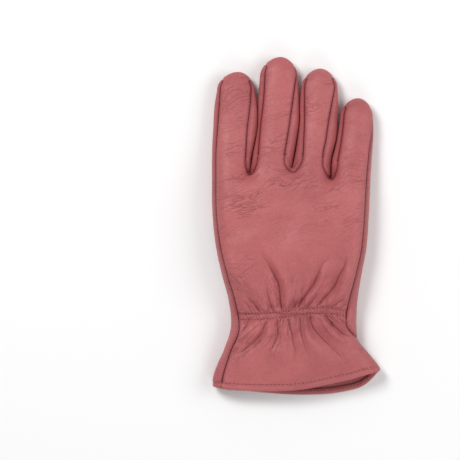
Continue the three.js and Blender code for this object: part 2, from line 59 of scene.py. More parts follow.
# Sizes in millimetres, in the glove's own plan: +Y to the fingertips, +X to the little finger
LEATHER = 1.2           # thickness of the leather
SEAM_GAP = 0.3          # between the outer faces of two sewn panels
SEAM_FADE = 1.5         # stretch in which a side seam ends beside a crotch
SEAM_LAP = 0.12         # how far the inner faces run on behind a seam
TOP_ROUND = 12.5        # plan distance from the edge to the full height above
UNDER_ROUND = 9.0       # plan distance from the edge to the flat underside
WRAP_SHARE = 0.7        # how far a side panel runs on under the glove, as a share of that
SIDE_SHARE = 0.3        # the same on a narrow finger, as a share of its width
THUMB_HEIGHT = 10.5     # height of the flattened thumb pocket
THUMB_ROUND = 8.0       # plan distance from its edge to its full height
PALM_CLEARANCE = 1.0    # space between the thumb pocket and the palm above it
PALM_SLOPE = 13.0       # plan distance in which the palm comes down beside the thumb
EDGE_LIFT = 0.4         # share of that lift which reaches the side edges
BINDING_SHARE = 0.024   # height of the rolled edge as a share of the hand's length
FAR_FROM_SEAM = 9.0     # distance given where no seam is near
TOLERANCE = 1e-6
SHIFT = (0.657, 0.146)  # brings the middle of the whole glove over the origin

# Mesh steps
TOP_STEPS = 30
UNDER_STEPS = 14
SIDE_STEPS = 10
HAND_STEPS = 230
FINGER_STEPS = 90
TIP_STEPS = 18
THUMB_STEPS = 120
THUMB_COLUMNS = 64
BASE_SEAM_STEPS = 10    # rows from the webs down to the seam at the base of the two middle fingers

# Fingers: how a side rounds off above a web, and how its tip closes
WEB_ROUND_ROWS = 1.25   # rows of the finger's table in which its side gets its full rounding
TIP_END = 88.0          # degrees to which the rounding of the tip is carried
TIP_POINT = 0.15        # how much slimmer than an ellipse the tip is
TIP_TUCK = 0.8          # how far the seam goes under at the tip, as a share of the side panel's reach
TIP_TURN = 0.45         # share of the tip's length at which the seam starts to go under

# Sides of the hand: edge of the outline, and how far the seam with the back lies inside it
HAND_LEFT = dict(
    y=[-111.4, -104.9, -96.6, -85.6, -69.7, -51.1, -33.8, -13.1, 11.0, 37.3],
    edge=[-57.6, -57.8, -55.1, -50.2, -45.3, -46.9, -51.5, -55.8, -58.2, -58.4],
    seam=[5.7, 6.2, 5.5, 4.2, 5.2, 3.8, 3.2, 2.5, 2.1, 2.1],
)
HAND_RIGHT = dict(
    y=[-99.6, -96.6, -86.9, -78.7, -68.3, -62.1, -51.1, -33.8, -13.1, 34.5],
    edge=[58.3, 56.9, 49.0, 42.6, 41.5, 41.5, 42.1, 44.8, 48.5, 51.2],
    seam=[-2.8, -2.8, -2.4, -1.0, 6.0, 7.4, 6.0, 3.8, 3.1, 2.4],
)
# Edge of the mouth, seen from above, on the back and on the palm side
MOUTH = dict(
    x=[-57.6, -44.5, -11.4, 5.9, 23.1, 36.9, 45.2, 51.4, 58.3],
    back=[-111.4, -113.2, -113.9, -112.5, -109.0, -105.9, -103.4, -101.7, -99.6],
    palm=[-111.4, -113.3, -116.3, -116.9, -116.2, -113.9, -111.4, -107.0, -99.6],
)
MOUTH_Y = -114.0        # about where the rows start on the palm side

# Where the mouth is divided into the four strips that run up to the fingers
STRIP_EDGES = [-57.6, -33, -4.5, 24, 58.3]

# Fingers: both edges of the outline with their seams, from the web to where the tip rounds off
INDEX = dict(
    left=[-58.4, -58.4, -58.2, -57.5, -56.8, -54.9],
    left_y=[37.3, 46.9, 55.9, 67.6, 81.4, 94.0],
    left_seam=[2.1, 2.1, 2.3, 2.5, 2.8, 1.8],
    right=[-31.9, -31.0, -29.2, -27.0, -26.8, -28.8],
    right_y=[37.6, 46.9, 55.9, 67.6, 81.4, 94.0],
    right_seam=[0, 3.2, 4.9, 6.6, 5.0, 1.8],
    tip=(-40.2, 106.5),
)
MIDDLE = dict(
    left=[-31.9, -30.4, -28.4, -26.7, -26.6, -25.2],
    left_y=[37.6, 49.0, 59.3, 71.8, 86.9, 103.5],
    left_seam=[0, 2.9, 2.0, 1.5, 3.2, 2.8],
    right=[-3.1, -1.5, 0.2, 1.9, 1.9, 0.8],
    right_y=[40.7, 49.0, 59.3, 71.8, 86.9, 103.5],
    right_seam=[0, 6.0, 6.4, 6.2, 3.9, 0.4],
    tip=(-10.8, 116.8),
)
RING = dict(
    left=[-3.1, -1.2, 0.5, 2.1, 2.2, 3.1],
    left_y=[40.7, 49.0, 59.3, 71.8, 83.5, 94.5],
    left_seam=[0, 4.4, 3.7, 2.7, 2.6, 1.7],
    right=[23.8, 24.3, 27.4, 28.5, 29.0, 28.6],
    right_y=[34.2, 46.9, 59.3, 71.8, 83.5, 94.5],
    right_seam=[0, 5.5, 6.9, 6.1, 4.4, 1.8],
    tip=(16.4, 108.8),
)
LITTLE = dict(
    left=[23.8, 23.9, 26.6, 28.7, 30.0],
    left_y=[34.2, 44.2, 54.4, 65.0, 75.2],
    left_seam=[0, 3.4, 2.8, 2.3, 2.0],
    right=[51.2, 51.9, 52.6, 53.2, 53.1],
    right_y=[34.5, 44.2, 54.4, 65.0, 75.2],
    right_seam=[2.4, 2.1, 1.7, 0.6, 0],
    tip=(42.6, 88.3),
)
FINGERS = [INDEX, MIDDLE, RING, LITTLE]

# Seam that runs round under each crotch, from one finger's side to the next
CROTCH_SEAMS = [
    [(-34.2, 46.9), (-34.7, 44.5), (-34.4, 41.5), (-33.7, 38.3), (-32.5, 35.6),
     (-30.3, 37.4), (-28.4, 41.9), (-27.4, 46.0), (-27.5, 49.0)],
    [(-7.5, 49.0), (-8.2, 46.4), (-7.9, 43.0), (-6.5, 40.2), (-4.6, 38.2), (-3.0, 37.6),
     (-1.1, 38.2), (1.0, 40.6), (2.7, 43.9), (3.6, 47.0), (3.2, 49.0)],
    [(18.8, 46.9), (18.3, 44.5), (18.6, 41.0), (20.2, 37.2), (22.2, 33.9), (24.0, 32.7),
     (25.6, 34.5), (27.2, 39.8), (27.7, 42.0), (27.3, 44.2)],
]

# Height of the side edges and of the back along the glove
HEIGHTS = dict(
    y=[-117, -100, -80, -61, -42, -10, 20, 40, 60, 85, 117],
    edge=[7.0, 7.5, 8.0, 8.5, 9.5, 10.5, 10.0, 9.0, 7.8, 7.2, 7.0],
    top=[16.0, 17.5, 20.5, 20.5, 25.0, 26.5, 25.5, 22.0, 17.8, 15.8, 15.0],
)

# Folded thumb from its tip to the end of its base, which is sewn into the hole in the palm
THUMB = dict(
    left=[-18.2, -23.5, -28.5, -32.2, -36.0, -41.4, -46.5, -51.6, -49.0, -45.5, -40.6, -34.0, -25.5],
    left_y=[39.7, 37.6, 33.2, 26.0, 16.5, 4.1, -4.5, -11.7, -21.0, -31.0, -43.0, -54.0, -60.0],
    right=[-14.2, -8.8, -3.4, -0.8, -0.3, -0.3, 0.0, 0.3, 0.2, -0.8, -3.2, -7.6, -12.0],
    right_y=[39.7, 37.8, 33.2, 26.0, 14.5, -2.0, -18.0, -34.5, -43.0, -52.5, -59.5, -63.4, -64.4],
    sag=[0, 0, 0, 0, 1, 2, 4, 6.5, 5, 3, 1.5, 0, 0],
    edge=[0.5, 0.5, 0.5, 0.5, 0.5, 0.5, 0.5, 0.5, 0.8, 1, 1, 1, 1],
)
HOLE_ROW = 7            # row of this table where the thumb's upper layer ends at the hole in the palm
BASE_LOW_Y = -62.0      # from here to the next the flat base of the thumb rises to its full height
BASE_HIGH_Y = -34.0

# Middle of the elastic across the back of the wrist
ELASTIC = dict(
    x=[-39.0, -23.8, -10.0, 2.4, 14.8, 24.5, 33.0],
    y=[-62.6, -62.2, -61.0, -59.2, -58.2, -58.6, -60.2],
)
ELASTIC_TROUGH = 1.2    # how far the elastic draws the back down
TROUGH_WIDTH = 6.0
ELASTIC_ROW = 1.85      # each row of stitches, from the middle of the elastic
BAND_HALF = 2.2         # half the flat band that the two rows hold down
FOLD_DEPTH = 1.25       # all gathers' depths are scaled by this
SHADE_LINE_FULL = 1.4         # reach of the painted shade line at the bottom of a gather, full and faded out
SHADE_LINE_REACH = 2.5

# Along the elastic: where its effect ends left and right, the ruffle beside it, the furrow of each row
# of stitches, the pillow between the rows, and the puff that the leather makes on both sides
BAND_SPAN = (-44, 39)
BAND_SPAN_FADE = 6
BAND_FADE = 3.5
BAND_CALM = 0.25        # share of the gathers' height that is left on the band
RUFFLE = dict(height=0.6, pitch=5.6, wander=0.55, reach=8.5)
ROW_FURROW = dict(depth=0.4, width=0.7)
PILLOW = dict(height=0.2, width=1.1)
PUFF = dict(height=1.2, away=10, width=5.0)

# Section of a gather, in widths of its flank
VALLEY_STEEPNESS = 1.15
SWELL = dict(height=0.26, away=2.1, width=1.1)
FOLD_END = 4            # a gather fades out over this before the end of its path

# Unevenness of worn leather: height, size and random seed of each layer
SOFT_DENTS = [(0.3, 26, 11), (0.24, 12, 12), (0.1, 5.5, 13)]

# Gathers: path of each valley from the elastic outwards, the width of its left and right flank, its
# depth, and the share of its length after which it fades
FOLDS = [
    ([(-16.9, -58.5), (-19.0, -51.0), (-20.7, -44.5), (-22.0, -36.0)], 2.2, 1.3, 2.0, 0.35),
    ([(-10.9, -58.0), (-11.0, -49.0), (-13.5, -38.0), (-19.5, -26.0), (-27.5, -14.5)], 6.0, 1.6, 3.4, 0.45),
    ([(-3.0, -57.0), (-0.5, -53.5), (4.5, -48.0)], 1.6, 1.3, 1.4, 0.3),
    ([(1.0, -55.5), (6.0, -48.0), (11.0, -40.0), (15.0, -31.0), (20.5, -24.0), (28.0, -19.0)],
     4.2, 1.5, 3.4, 0.4),
    ([(6.5, -57.0), (11.5, -50.5), (17.0, -44.0)], 1.6, 1.5, 1.2, 0.3),
    ([(14.0, -55.0), (21.0, -47.0), (27.5, -38.0), (32.5, -26.0), (36.5, -14.0)], 5.0, 2.0, 3.3, 0.45),
    ([(-25.5, -58.5), (-29.0, -53.0), (-33.5, -49.0), (-39.5, -46.5)], 1.8, 1.5, 1.7, 0.3),
    ([(-30.5, -58.0), (-34.0, -53.0), (-38.5, -50.0)], 1.3, 1.3, 0.9, 0.3),
    ([(24.5, -56.5), (29.0, -52.0), (34.5, -48.5)], 1.6, 1.6, 1.4, 0.3),
    ([(29.5, -57.5), (33.0, -54.0), (37.0, -52.0)], 1.2, 1.2, 0.9, 0.3),
    ([(-33.0, -66.0), (-36.5, -70.5), (-41.0, -75.0)], 1.8, 1.4, 1.3, 0.4),
    ([(-20.5, -65.5), (-24.0, -73.0), (-31.0, -81.0), (-42.0, -89.0), (-49.0, -94.0)], 2.4, 1.8, 2.4, 0.3),
    ([(-13.0, -65.0), (-13.0, -74.0), (-16.5, -83.0), (-25.0, -91.0)], 1.8, 1.8, 1.9, 0.3),
    ([(-5.5, -64.5), (-4.0, -74.0), (-1.5, -84.0), (-1.0, -98.0)], 2.2, 2.2, 2.0, 0.3),
    ([(1.5, -63.5), (2.0, -72.0), (5.0, -83.0), (8.0, -90.0)], 2.0, 1.6, 2.0, 0.3),
    ([(9.5, -63.0), (12.0, -70.0), (18.5, -79.0), (27.0, -87.0), (36.0, -93.5)], 2.6, 4.0, 3.0, 0.35),
    ([(19.5, -62.0), (24.0, -68.5), (31.0, -73.0), (41.5, -77.5)], 1.4, 3.6, 2.8, 0.55),
    ([(28.0, -62.5), (32.5, -66.5), (38.0, -69.0)], 1.3, 1.3, 1.0, 0.3),
]

# Broad swellings and hollows of the worn back: path, half width and height
DENTS = [
    ([(-50.0, -8.0), (-30.0, 0.0), (-8.0, 2.0)], 8.0, -1.2),
    ([(-38.0, -11.0), (-27.0, -5.0)], 6.5, 1.1),
    ([(-46.0, -28.0), (-38.0, -38.0)], 8.0, 0.8),
    ([(-44.0, 27.0), (-20.0, 25.0)], 7.0, 0.9),
    ([(-36.0, 17.0), (8.0, 16.0)], 6.0, -0.8),
    ([(0.0, 31.0), (13.0, 24.0)], 6.5, 0.9),
    ([(-5.0, -20.0), (6.0, -8.0)], 10.0, 0.9),
    ([(38.0, -10.0), (31.0, -22.0)], 6.0, -0.9),
    ([(36.0, 26.0), (40.0, 6.0)], 8.0, 0.6),
    ([(34.0, -42.0), (39.0, -34.0)], 5.0, 0.9),
    ([(-30.0, -98.0), (0.0, -101.0), (28.0, -95.0)], 9.0, 0.8),
    ([(-20.0, -82.0), (-8.0, -90.0)], 6.0, 0.9),
    ([(8.0, -78.0), (14.0, -90.0)], 6.0, 0.8),
]


def mix(a, b, t):
    return a + (b - a) * t


def clamp(v):
    return np.clip(v, 0.0, 1.0)


def ease(v):
    v = clamp(v)
    return v * v * (3 - 2 * v)


def rounded(v):
    return np.sqrt(1 - (1 - clamp(v)) ** 2)


def flat_rounded(v, squareness=2.6):
    return (1 - (1 - clamp(v)) ** squareness) ** (1 / squareness)


def smooth(places, values, at):
    """Smooth curve through a table's rows."""
    x = np.asarray(places, float)
    v = np.asarray(values, float)
    last = len(x) - 1
    at = np.asarray(at, float)
    i = np.clip(np.searchsorted(x, at, side="right") - 1, 0, last - 1)
    span = x[i + 1] - x[i]
    t = clamp((at - x[i]) / span)
    straight = (v[i + 1] - v[i]) / span
    slopes = np.zeros(last + 1)
    slopes[1:last] = (v[2:] - v[:-2]) / (x[2:] - x[:-2])
    start = np.where(i == 0, straight, slopes[i])
    end = np.where(i + 1 == last, straight, slopes[i + 1])
    bend = t * t * (3 - 2 * t)
    return mix(v[i], v[i + 1], bend) + span * t * (1 - t) * ((1 - t) * start - t * end)


def distance_to_path(x, y, path):
    """Plan distance of many points to a path of straight pieces."""
    path = np.asarray(path, float)
    best = np.full(np.shape(x), np.inf)
    for (ax, ay), (bx, by) in zip(path[:-1], path[1:]):
        dx, dy = bx - ax, by - ay
        size = dx * dx + dy * dy
        if size == 0:
            continue
        along = clamp(((x - ax) * dx + (y - ay) * dy) / size)
        best = np.minimum(best, (x - ax - along * dx) ** 2 + (y - ay - along * dy) ** 2)
    return np.sqrt(best)


def is_inside(x, y, loop):
    inside = np.zeros(np.shape(x), bool)
    loop = np.asarray(loop, float)
    for (ax, ay), (bx, by) in zip(loop, np.roll(loop, -1, axis=0)):
        if ay == by:
            continue
        crosses = (ay > y) != (by > y)
        inside ^= crosses & (x < ax + (y - ay) * (bx - ax) / (by - ay))
    return inside


def noise(x, y, size, seed):
    """Smooth random height from -1 to 1 whose bumps are about size wide."""
    lattice = np.random.default_rng(seed).uniform(-1, 1, (128, 128))
    u, v = np.asarray(x) / size + 31.7, np.asarray(y) / size + 47.3
    i, j = np.floor(u).astype(int), np.floor(v).astype(int)
    s, t = ease(u - i), ease(v - j)
    corner = lambda a, b: lattice[(i + a) % 128, (j + b) % 128]
    return mix(mix(corner(0, 0), corner(1, 0), s), mix(corner(0, 1), corner(1, 1), s), t)


def ridges(x, y, size, seed):
    """Thin branching creases from 0 to 1."""
    bend = 0.35 * size
    u = x + bend * noise(x, y, size * 0.8, seed + 1)
    v = y + bend * noise(x, y, size * 0.8, seed + 2)
    return (1 - np.abs(noise(u, v, size, seed))) ** 7


# Rows of the glove, from the mouth to the webs and from the webs to the fingertips
def finger_rows(finger, place):
    last = len(finger["left"]) - 1
    index = np.arange(last + 1)
    at = np.linspace(0, last, FINGER_STEPS + 1)
    names = ("left", "left_y", "left_seam", "right", "right_y", "right_seam")
    rows = {name: smooth(index, finger[name], at) for name in names}
    web_round = clamp(at / WEB_ROUND_ROWS)
    rows["left_round"] = np.ones_like(at) if place == 0 else web_round
    rows["right_round"] = np.ones_like(at) if place == 3 else web_round
    rows["left_sewn"] = np.ones_like(at)
    rows["right_sewn"] = np.ones_like(at)
    if place > 0:
        rows["left_sewn"] = ease((rows["left_y"] - CROTCH_SEAMS[place - 1][-1][1]) / SEAM_FADE + 1)
    if place < 3:
        rows["right_sewn"] = ease((rows["right_y"] - CROTCH_SEAMS[place][0][1]) / SEAM_FADE + 1)
    angle = np.radians(np.linspace(0, TIP_END, TIP_STEPS + 1)[1:])
    c, s = np.cos(angle), np.sin(angle)
    narrow = c * (1 - TIP_POINT * s * s)
    tip_x, tip_y = finger["tip"]
    left, right = mix(tip_x, finger["left"][-1], narrow), mix(tip_x, finger["right"][-1], narrow)
    turned = -TIP_TUCK * np.minimum(WRAP_SHARE * UNDER_ROUND, SIDE_SHARE * (right - left))
    goes_under = ease((s - TIP_TURN) / TIP_TURN)
    tips = dict(
        left=left, left_y=mix(finger["left_y"][-1], tip_y, s),
        left_seam=mix(finger["left_seam"][-1] * c * c, turned, goes_under),
        right=right, right_y=mix(finger["right_y"][-1], tip_y, s),
        right_seam=mix(finger["right_seam"][-1] * c * c, turned, goes_under),
        left_round=np.ones_like(c), right_round=np.ones_like(c),
        left_sewn=np.ones_like(c), right_sewn=np.ones_like(c),
    )
    return {name: np.concatenate([rows[name], tips[name]]) for name in rows}


FINGER_ROWS = [finger_rows(finger, place) for place, finger in enumerate(FINGERS)]
WEBS = [(rows["right"][0], rows["right_y"][0]) for rows in FINGER_ROWS[:3]]


def hand_rows(strip):
    web = {name: values[0] for name, values in FINGER_ROWS[strip].items()}
    t = np.linspace(BINDING_SHARE, 1, HAND_STEPS + 1)
    t = np.concatenate([[0.0], t])
    left, right = STRIP_EDGES[strip:strip + 2]
    rows = dict(t=t, left=mix(left, web["left"], t), right=mix(right, web["right"], t))
    rows["left_seam"] = np.zeros_like(t)
    rows["right_seam"] = np.zeros_like(t)
    rows["left_round"] = np.full_like(t, float(strip == 0))
    rows["right_round"] = np.full_like(t, float(strip == 3))
    rows["left_sewn"] = rows["left_round"]
    rows["right_sewn"] = rows["right_round"]
    if strip == 0:
        y = mix(HAND_LEFT["y"][0], web["left_y"], t)
        rows["left"] = smooth(HAND_LEFT["y"], HAND_LEFT["edge"], y)
        rows["left_seam"] = smooth(HAND_LEFT["y"], HAND_LEFT["seam"], y)
    if strip == 3:
        y = mix(HAND_RIGHT["y"][0], web["right_y"], t)
        rows["right"] = smooth(HAND_RIGHT["y"], HAND_RIGHT["edge"], y)
        rows["right_seam"] = smooth(HAND_RIGHT["y"], HAND_RIGHT["seam"], y)
    rows["left_y"] = np.full_like(t, web["left_y"])
    rows["right_y"] = np.full_like(t, web["right_y"])
    first, last = FINGER_ROWS[0], FINGER_ROWS[3]
    left_y = mix(HAND_LEFT["y"][0], first["left_y"][0], t)
    right_y = mix(HAND_RIGHT["y"][0], last["right_y"][0], t)
    rows["hand_left"] = smooth(HAND_LEFT["y"], HAND_LEFT["edge"], left_y)
    rows["hand_right"] = smooth(HAND_RIGHT["y"], HAND_RIGHT["edge"], right_y)
    return rows


HAND_ROWS = [hand_rows(strip) for strip in range(4)]


def glove_outline():
    left, right = HAND_ROWS[0], HAND_ROWS[3]
    path = list(zip(left["left"], mix(HAND_LEFT["y"][0], left["left_y"][0], left["t"])))
    for rows in FINGER_ROWS:
        path += list(zip(rows["left"], rows["left_y"]))[1:]
        path += list(zip(rows["right"], rows["right_y"]))[::-1]
    path += list(zip(right["right"], mix(HAND_RIGHT["y"][0], right["right_y"][0], right["t"])))[::-1][1:]
    return np.array(path)


OUTLINE = glove_outline()


def thumb_rows(steps):
    index = np.arange(len(THUMB["left"]))
    at = np.linspace(0, index[-1], steps + 1)
    return at, {name: smooth(index, values, at) for name, values in THUMB.items()}


_, RIM_ROWS = thumb_rows(48)
THUMB_LOOP = list(zip(RIM_ROWS["left"], RIM_ROWS["left_y"]))
THUMB_LOOP += list(zip(RIM_ROWS["right"], RIM_ROWS["right_y"]))[::-1]
THUMB_RIM = THUMB_LOOP + THUMB_LOOP[:1]


def thumb_height(y):
    return THUMB_HEIGHT * ease((y - BASE_LOW_Y) / (BASE_HIGH_Y - BASE_LOW_Y))


def palm_lift(x, y):
    distance = distance_to_path(x, y, THUMB_RIM)
    outside = np.where(is_inside(x, y, THUMB_LOOP), -distance, distance)
    full = thumb_height(y) * (1 + PALM_CLEARANCE / THUMB_HEIGHT)
    return full * (1 - ease((outside + 1) / PALM_SLOPE))


def nearest_on_path(x, y, path):
    """Signed plan distance to a path, positive on its right, and the share of its length at the foot."""
    path = np.asarray(path, float)
    steps = np.linalg.norm(np.diff(path, axis=0), axis=1)
    reach = np.concatenate([[0], np.cumsum(steps)]) / steps.sum()
    best = np.full(np.shape(x), np.inf)
    signed = np.zeros(np.shape(x))
    share = np.zeros(np.shape(x))
    for i, ((ax, ay), (bx, by)) in enumerate(zip(path[:-1], path[1:])):
        dx, dy = bx - ax, by - ay
        along = clamp(((x - ax) * dx + (y - ay) * dy) / (dx * dx + dy * dy))
        away = np.hypot(x - ax - along * dx, y - ay - along * dy)
        side = np.where((x - ax) * dy - (y - ay) * dx > 0, 1.0, -1.0)
        closer = away < best
        best = np.where(closer, away, best)
        signed = np.where(closer, away * side, signed)
        share = np.where(closer, mix(reach[i], reach[i + 1], along), share)
    return signed, share


def valley(away, left, right):
    """Sharp bottom, a hollow flank on each side and a low swelling beyond the steeper one."""
    size = np.where(away > 0, right, left)
    cut = np.exp(-np.abs(away) / size * VALLEY_STEEPNESS)
    swell = np.exp(-((np.abs(away) - SWELL["away"] * size) / (SWELL["width"] * size)) ** 2)
    return -cut + SWELL["height"] * swell


def wandering(x, y):
    """Plan places moved a little, so that no gather runs quite evenly."""
    moved_x = x + 0.9 * noise(x, y, 8, 5) + 0.2 * noise(x, y, 3.2, 7)
    moved_y = y + 0.9 * noise(x, y, 8, 6)
    return moved_x, moved_y


def past_elastic(x, y):
    """Distance along the glove from the middle of the elastic, positive towards the fingers."""
    return y - smooth(ELASTIC["x"], ELASTIC["y"], x)


def fold_height(x, y):
    """Valleys of the gathers, the broad dents, and the ruffle along the elastic."""
    height = np.zeros(np.shape(x))
    wander_x, wander_y = wandering(x, y)
    for path, left, right, depth, steady in FOLDS:
        goes_up = path[-1][1] > path[0][1]
        away, share = nearest_on_path(wander_x, wander_y, path)
        away = away if goes_up else -away
        fade = 1 - ease((share - steady) / (1 - steady))
        past = np.hypot(x - path[-1][0], y - path[-1][1])
        height += FOLD_DEPTH * depth * fade * ease(past / FOLD_END) * valley(
            away, left * (1 + share), right * (1 + 0.6 * share))
    for path, width, rise in DENTS:
        height += rise * np.exp(-(distance_to_path(x, y, path) / width) ** 2)
    away = past_elastic(x, y)
    ends = ease((x - BAND_SPAN[0]) / BAND_SPAN_FADE) * ease((BAND_SPAN[1] - x) / BAND_SPAN_FADE)
    off_band = ease((np.abs(away) - BAND_HALF) / BAND_FADE)
    phase = x / RUFFLE["pitch"] + RUFFLE["wander"] * noise(x, 0 * x, 11, 8)
    ruffle = RUFFLE["height"] * np.cos(2 * np.pi * phase) * np.exp(-(away / RUFFLE["reach"]) ** 2) * off_band
    furrows = ROW_FURROW["depth"] * np.exp(-((np.abs(away) - ELASTIC_ROW) / ROW_FURROW["width"]) ** 2)
    pillow = PILLOW["height"] * np.exp(-(away / PILLOW["width"]) ** 2)
    band = -ELASTIC_TROUGH * (1 - ease(np.abs(away) / TROUGH_WIDTH)) - furrows + pillow
    puff = PUFF["height"] * np.exp(-((np.abs(away) - PUFF["away"]) / PUFF["width"]) ** 2)
    return mix(height, height * mix(BAND_CALM, 1.0, off_band), ends) + ends * (ruffle + band + puff)


def fold_shade_line(x, y):
    """Distance to the sharp bottom of the nearest gather, and how strong the painted shade line there is."""
    nearest = np.full(np.shape(x), SHADE_LINE_REACH)
    strength = np.zeros(np.shape(x))
    wander_x, wander_y = wandering(x, y)
    for path, _, _, depth, steady in FOLDS:
        away, share = nearest_on_path(wander_x, wander_y, path)
        fade = 1 - ease((share - steady) / (1 - steady))
        closer = np.abs(away) < np.abs(nearest)
        near = 1 - ease((np.abs(away) - SHADE_LINE_FULL) / (SHADE_LINE_REACH - SHADE_LINE_FULL))
        strong = min(1.0, 0.35 + depth / 4) * fade * near
        nearest = np.where(closer, away, nearest)
        strength = np.where(closer, strong, strength)
    off_band = ease((np.abs(past_elastic(x, y)) - BAND_HALF) / 1.5)
    return np.stack([nearest, strength * off_band, np.zeros(np.shape(x))], axis=-1)


def soft_dents(x, y):
    """Small unevenness of worn leather."""
    return sum(height * noise(x, y, size, seed) for height, size, seed in SOFT_DENTS)


def bump_along(y, middle, reach):
    """Share from 0 to 1 that is highest at a place along the glove."""
    return np.exp(-((y - middle) / reach) ** 2)


def crease_height(x, y):
    """Fine creases, most of them across the knuckles and near the gathers."""
    knuckles = bump_along(y, 30, 17)
    gathers = bump_along(y, -55, 30)
    base = 0.2 + 0.8 * np.maximum(knuckles, gathers)
    patch = 0.5 + 0.5 * noise(x, y, 22, 14)
    lines = 0.32 * ridges(x * 0.75, y * 1.25, 10, 20) + 0.18 * ridges(x * 0.8, y * 1.2, 5.5, 24)
    return -base * patch * lines


def top_height(x, y):
    share = rounded(distance_to_path(x, y, OUTLINE) / TOP_ROUND)
    edge = smooth(HEIGHTS["y"], HEIGHTS["edge"], y) + palm_lift(x, y) * EDGE_LIFT
    top = smooth(HEIGHTS["y"], HEIGHTS["top"], y)
    relief = fold_height(x, y) + soft_dents(x, y) + crease_height(x, y)
    return mix(edge, top, share) + relief * ease(share * 1.3)


def under_height(x, y):
    share = flat_rounded(distance_to_path(x, y, OUTLINE) / UNDER_ROUND)
    lift = palm_lift(x, y)
    edge = smooth(HEIGHTS["y"], HEIGHTS["edge"], y) + lift * EDGE_LIFT
    return mix(edge, lift, share)


def plan_distance(length, radius):
    """Plan distance from the edge that a length over the rounded surface reaches."""
    length = np.abs(length)
    safe = np.maximum(radius, 1e-9)
    u = length / safe
    return np.where((radius > 1e-9) & (u < 1), radius * (2 * u * u - u ** 3), length)


def unfold(distance, radius):
    """Length over the rounded surface that reaches a plan distance from the edge."""
    safe = np.maximum(radius, 1e-9)
    u = np.linspace(0, 1, 400)
    length = radius * np.interp(distance / safe, 2 * u * u - u ** 3, u)
    return np.where((radius > 1e-9) & (distance < radius), length, distance)


def row_points(rows, length, under, plain=False):
    """Points of all rows at a length measured over the glove from its left edge."""
    col = {name: values[:, None] for name, values in rows.items()}
    width = col["right"] - col["left"]
    reach = np.minimum(TOP_ROUND, width / 2) * (0.0 if plain else 1.0)
    left = plan_distance(length, reach * col["left_round"])
    right = width - plan_distance(width - length, reach * col["right_round"])
    offset = np.where(length < width / 2, left, right)
    x = col["left"] + offset
    y = mix(col["left_y"], col["right_y"], offset / width)
    below = under | (length < -TOLERANCE) | (length > width + TOLERANCE)
    if "t" in rows:
        across = (x - col["hand_left"]) / (col["hand_right"] - col["hand_left"])
        at = mix(MOUTH["x"][0], MOUTH["x"][-1], across)
        mouth = np.where(below, smooth(MOUTH["x"], MOUTH["palm"], at), smooth(MOUTH["x"], MOUTH["back"], at))
        y = mix(mouth, y, col["t"])
    z = np.where(below, under_height(x, y), top_height(x, y))
    return np.stack([x, y, z], axis=-1)


# Sheets of quads over shared points
def row_sections(rows, meets_base_seam):
    """Grids of a strip: over the top, down both sides and underneath, with the distance to a seam."""
    col = {name: values[:, None] for name, values in rows.items()}
    width = col["right"] - col["left"]
    wrap = np.minimum(WRAP_SHARE * UNDER_ROUND, SIDE_SHARE * width)
    left_wrap, right_wrap = wrap * col["left_round"], wrap * col["right_round"]
    reach = np.minimum(TOP_ROUND, width / 2)
    for side in ("left", "right"):
        seam = col[side + "_seam"]
        col[side + "_seam"] = np.where(seam > 0, unfold(seam, reach * col[side + "_round"]), seam)
    u = lambda steps: np.linspace(0, 1, steps + 1)[None, :]
    lengths = dict(
        top=mix(col["left_seam"], width - col["right_seam"], u(TOP_STEPS)),
        left=mix(col["left_seam"], -left_wrap, u(SIDE_STEPS)),
        right=mix(width - col["right_seam"], width + right_wrap, u(SIDE_STEPS)),
    )
    grids = {name: row_points(rows, length, False) for name, length in lengths.items()}
    start = row_points(rows, -left_wrap, True)[:, :, 0]
    end = row_points(rows, width + right_wrap, True)[:, :, 0]
    under = mix(start, end, u(UNDER_STEPS)) - col["left"]
    grids["under"] = row_points(rows, under, True, plain=True)
    left_free = FAR_FROM_SEAM * (1 - col["left_sewn"])
    right_free = FAR_FROM_SEAM * (1 - col["right_sewn"])
    away = dict(
        top=np.minimum(lengths["top"] - col["left_seam"] + left_free,
                       width - col["right_seam"] - lengths["top"] + right_free),
        left=col["left_seam"] - lengths["left"] + left_free,
        right=lengths["right"] - (width - col["right_seam"]) + right_free,
        under=np.full(under.shape, FAR_FROM_SEAM),
    )
    if meets_base_seam:
        away["under"] = np.minimum(away["under"], base_seam_away(grids["under"]))
    return grids, away


def base_seam_away(points):
    """Distance to the seam at the base of the two middle fingers, on the palm side."""
    row = -BASE_SEAM_STEPS - 1
    left, right = HAND_ROWS[1], HAND_ROWS[2]
    path = [WEBS[0]]
    for rows, side in ((left, "left"), (left, "right"), (right, "right")):
        path.append((rows[side][row], mix(MOUTH_Y, rows[side + "_y"][row], rows["t"][row])))
    path.append(WEBS[2])
    return distance_to_path(points[..., 0], points[..., 1], path)


class Sheet:
    """Quads of one piece, kept as separate grids until the glove is joined."""

    def __init__(self):
        self.grids = []

    def add(self, points, away, flip):
        self.grids.append((points, away, flip))


SHEETS = {name: Sheet() for name in ("back", "palm", "middle_ring_front", "cuff_binding")}
BASE_ROW = HAND_STEPS + 1 - BASE_SEAM_STEPS
for strip, rows in enumerate(HAND_ROWS):
    grids, away = row_sections(rows, True)
    cut = lambda name, low, high: (grids[name][low:high], away[name][low:high])
    SHEETS["cuff_binding"].add(*cut("top", 0, 2), False)
    SHEETS["cuff_binding"].add(*cut("under", 0, 2), True)
    SHEETS["back"].add(*cut("top", 1, None), False)
    if strip in (1, 2):
        SHEETS["palm"].add(*cut("under", 1, BASE_ROW + 1), True)
        SHEETS["middle_ring_front"].add(*cut("under", BASE_ROW, None), True)
    else:
        SHEETS["palm"].add(*cut("under", 1, None), True)
    side = {0: "left", 3: "right"}.get(strip)
    if side:
        SHEETS["palm"].add(*cut(side, 1, None), side == "left")
        SHEETS["cuff_binding"].add(*cut(side, 0, 2), side == "left")

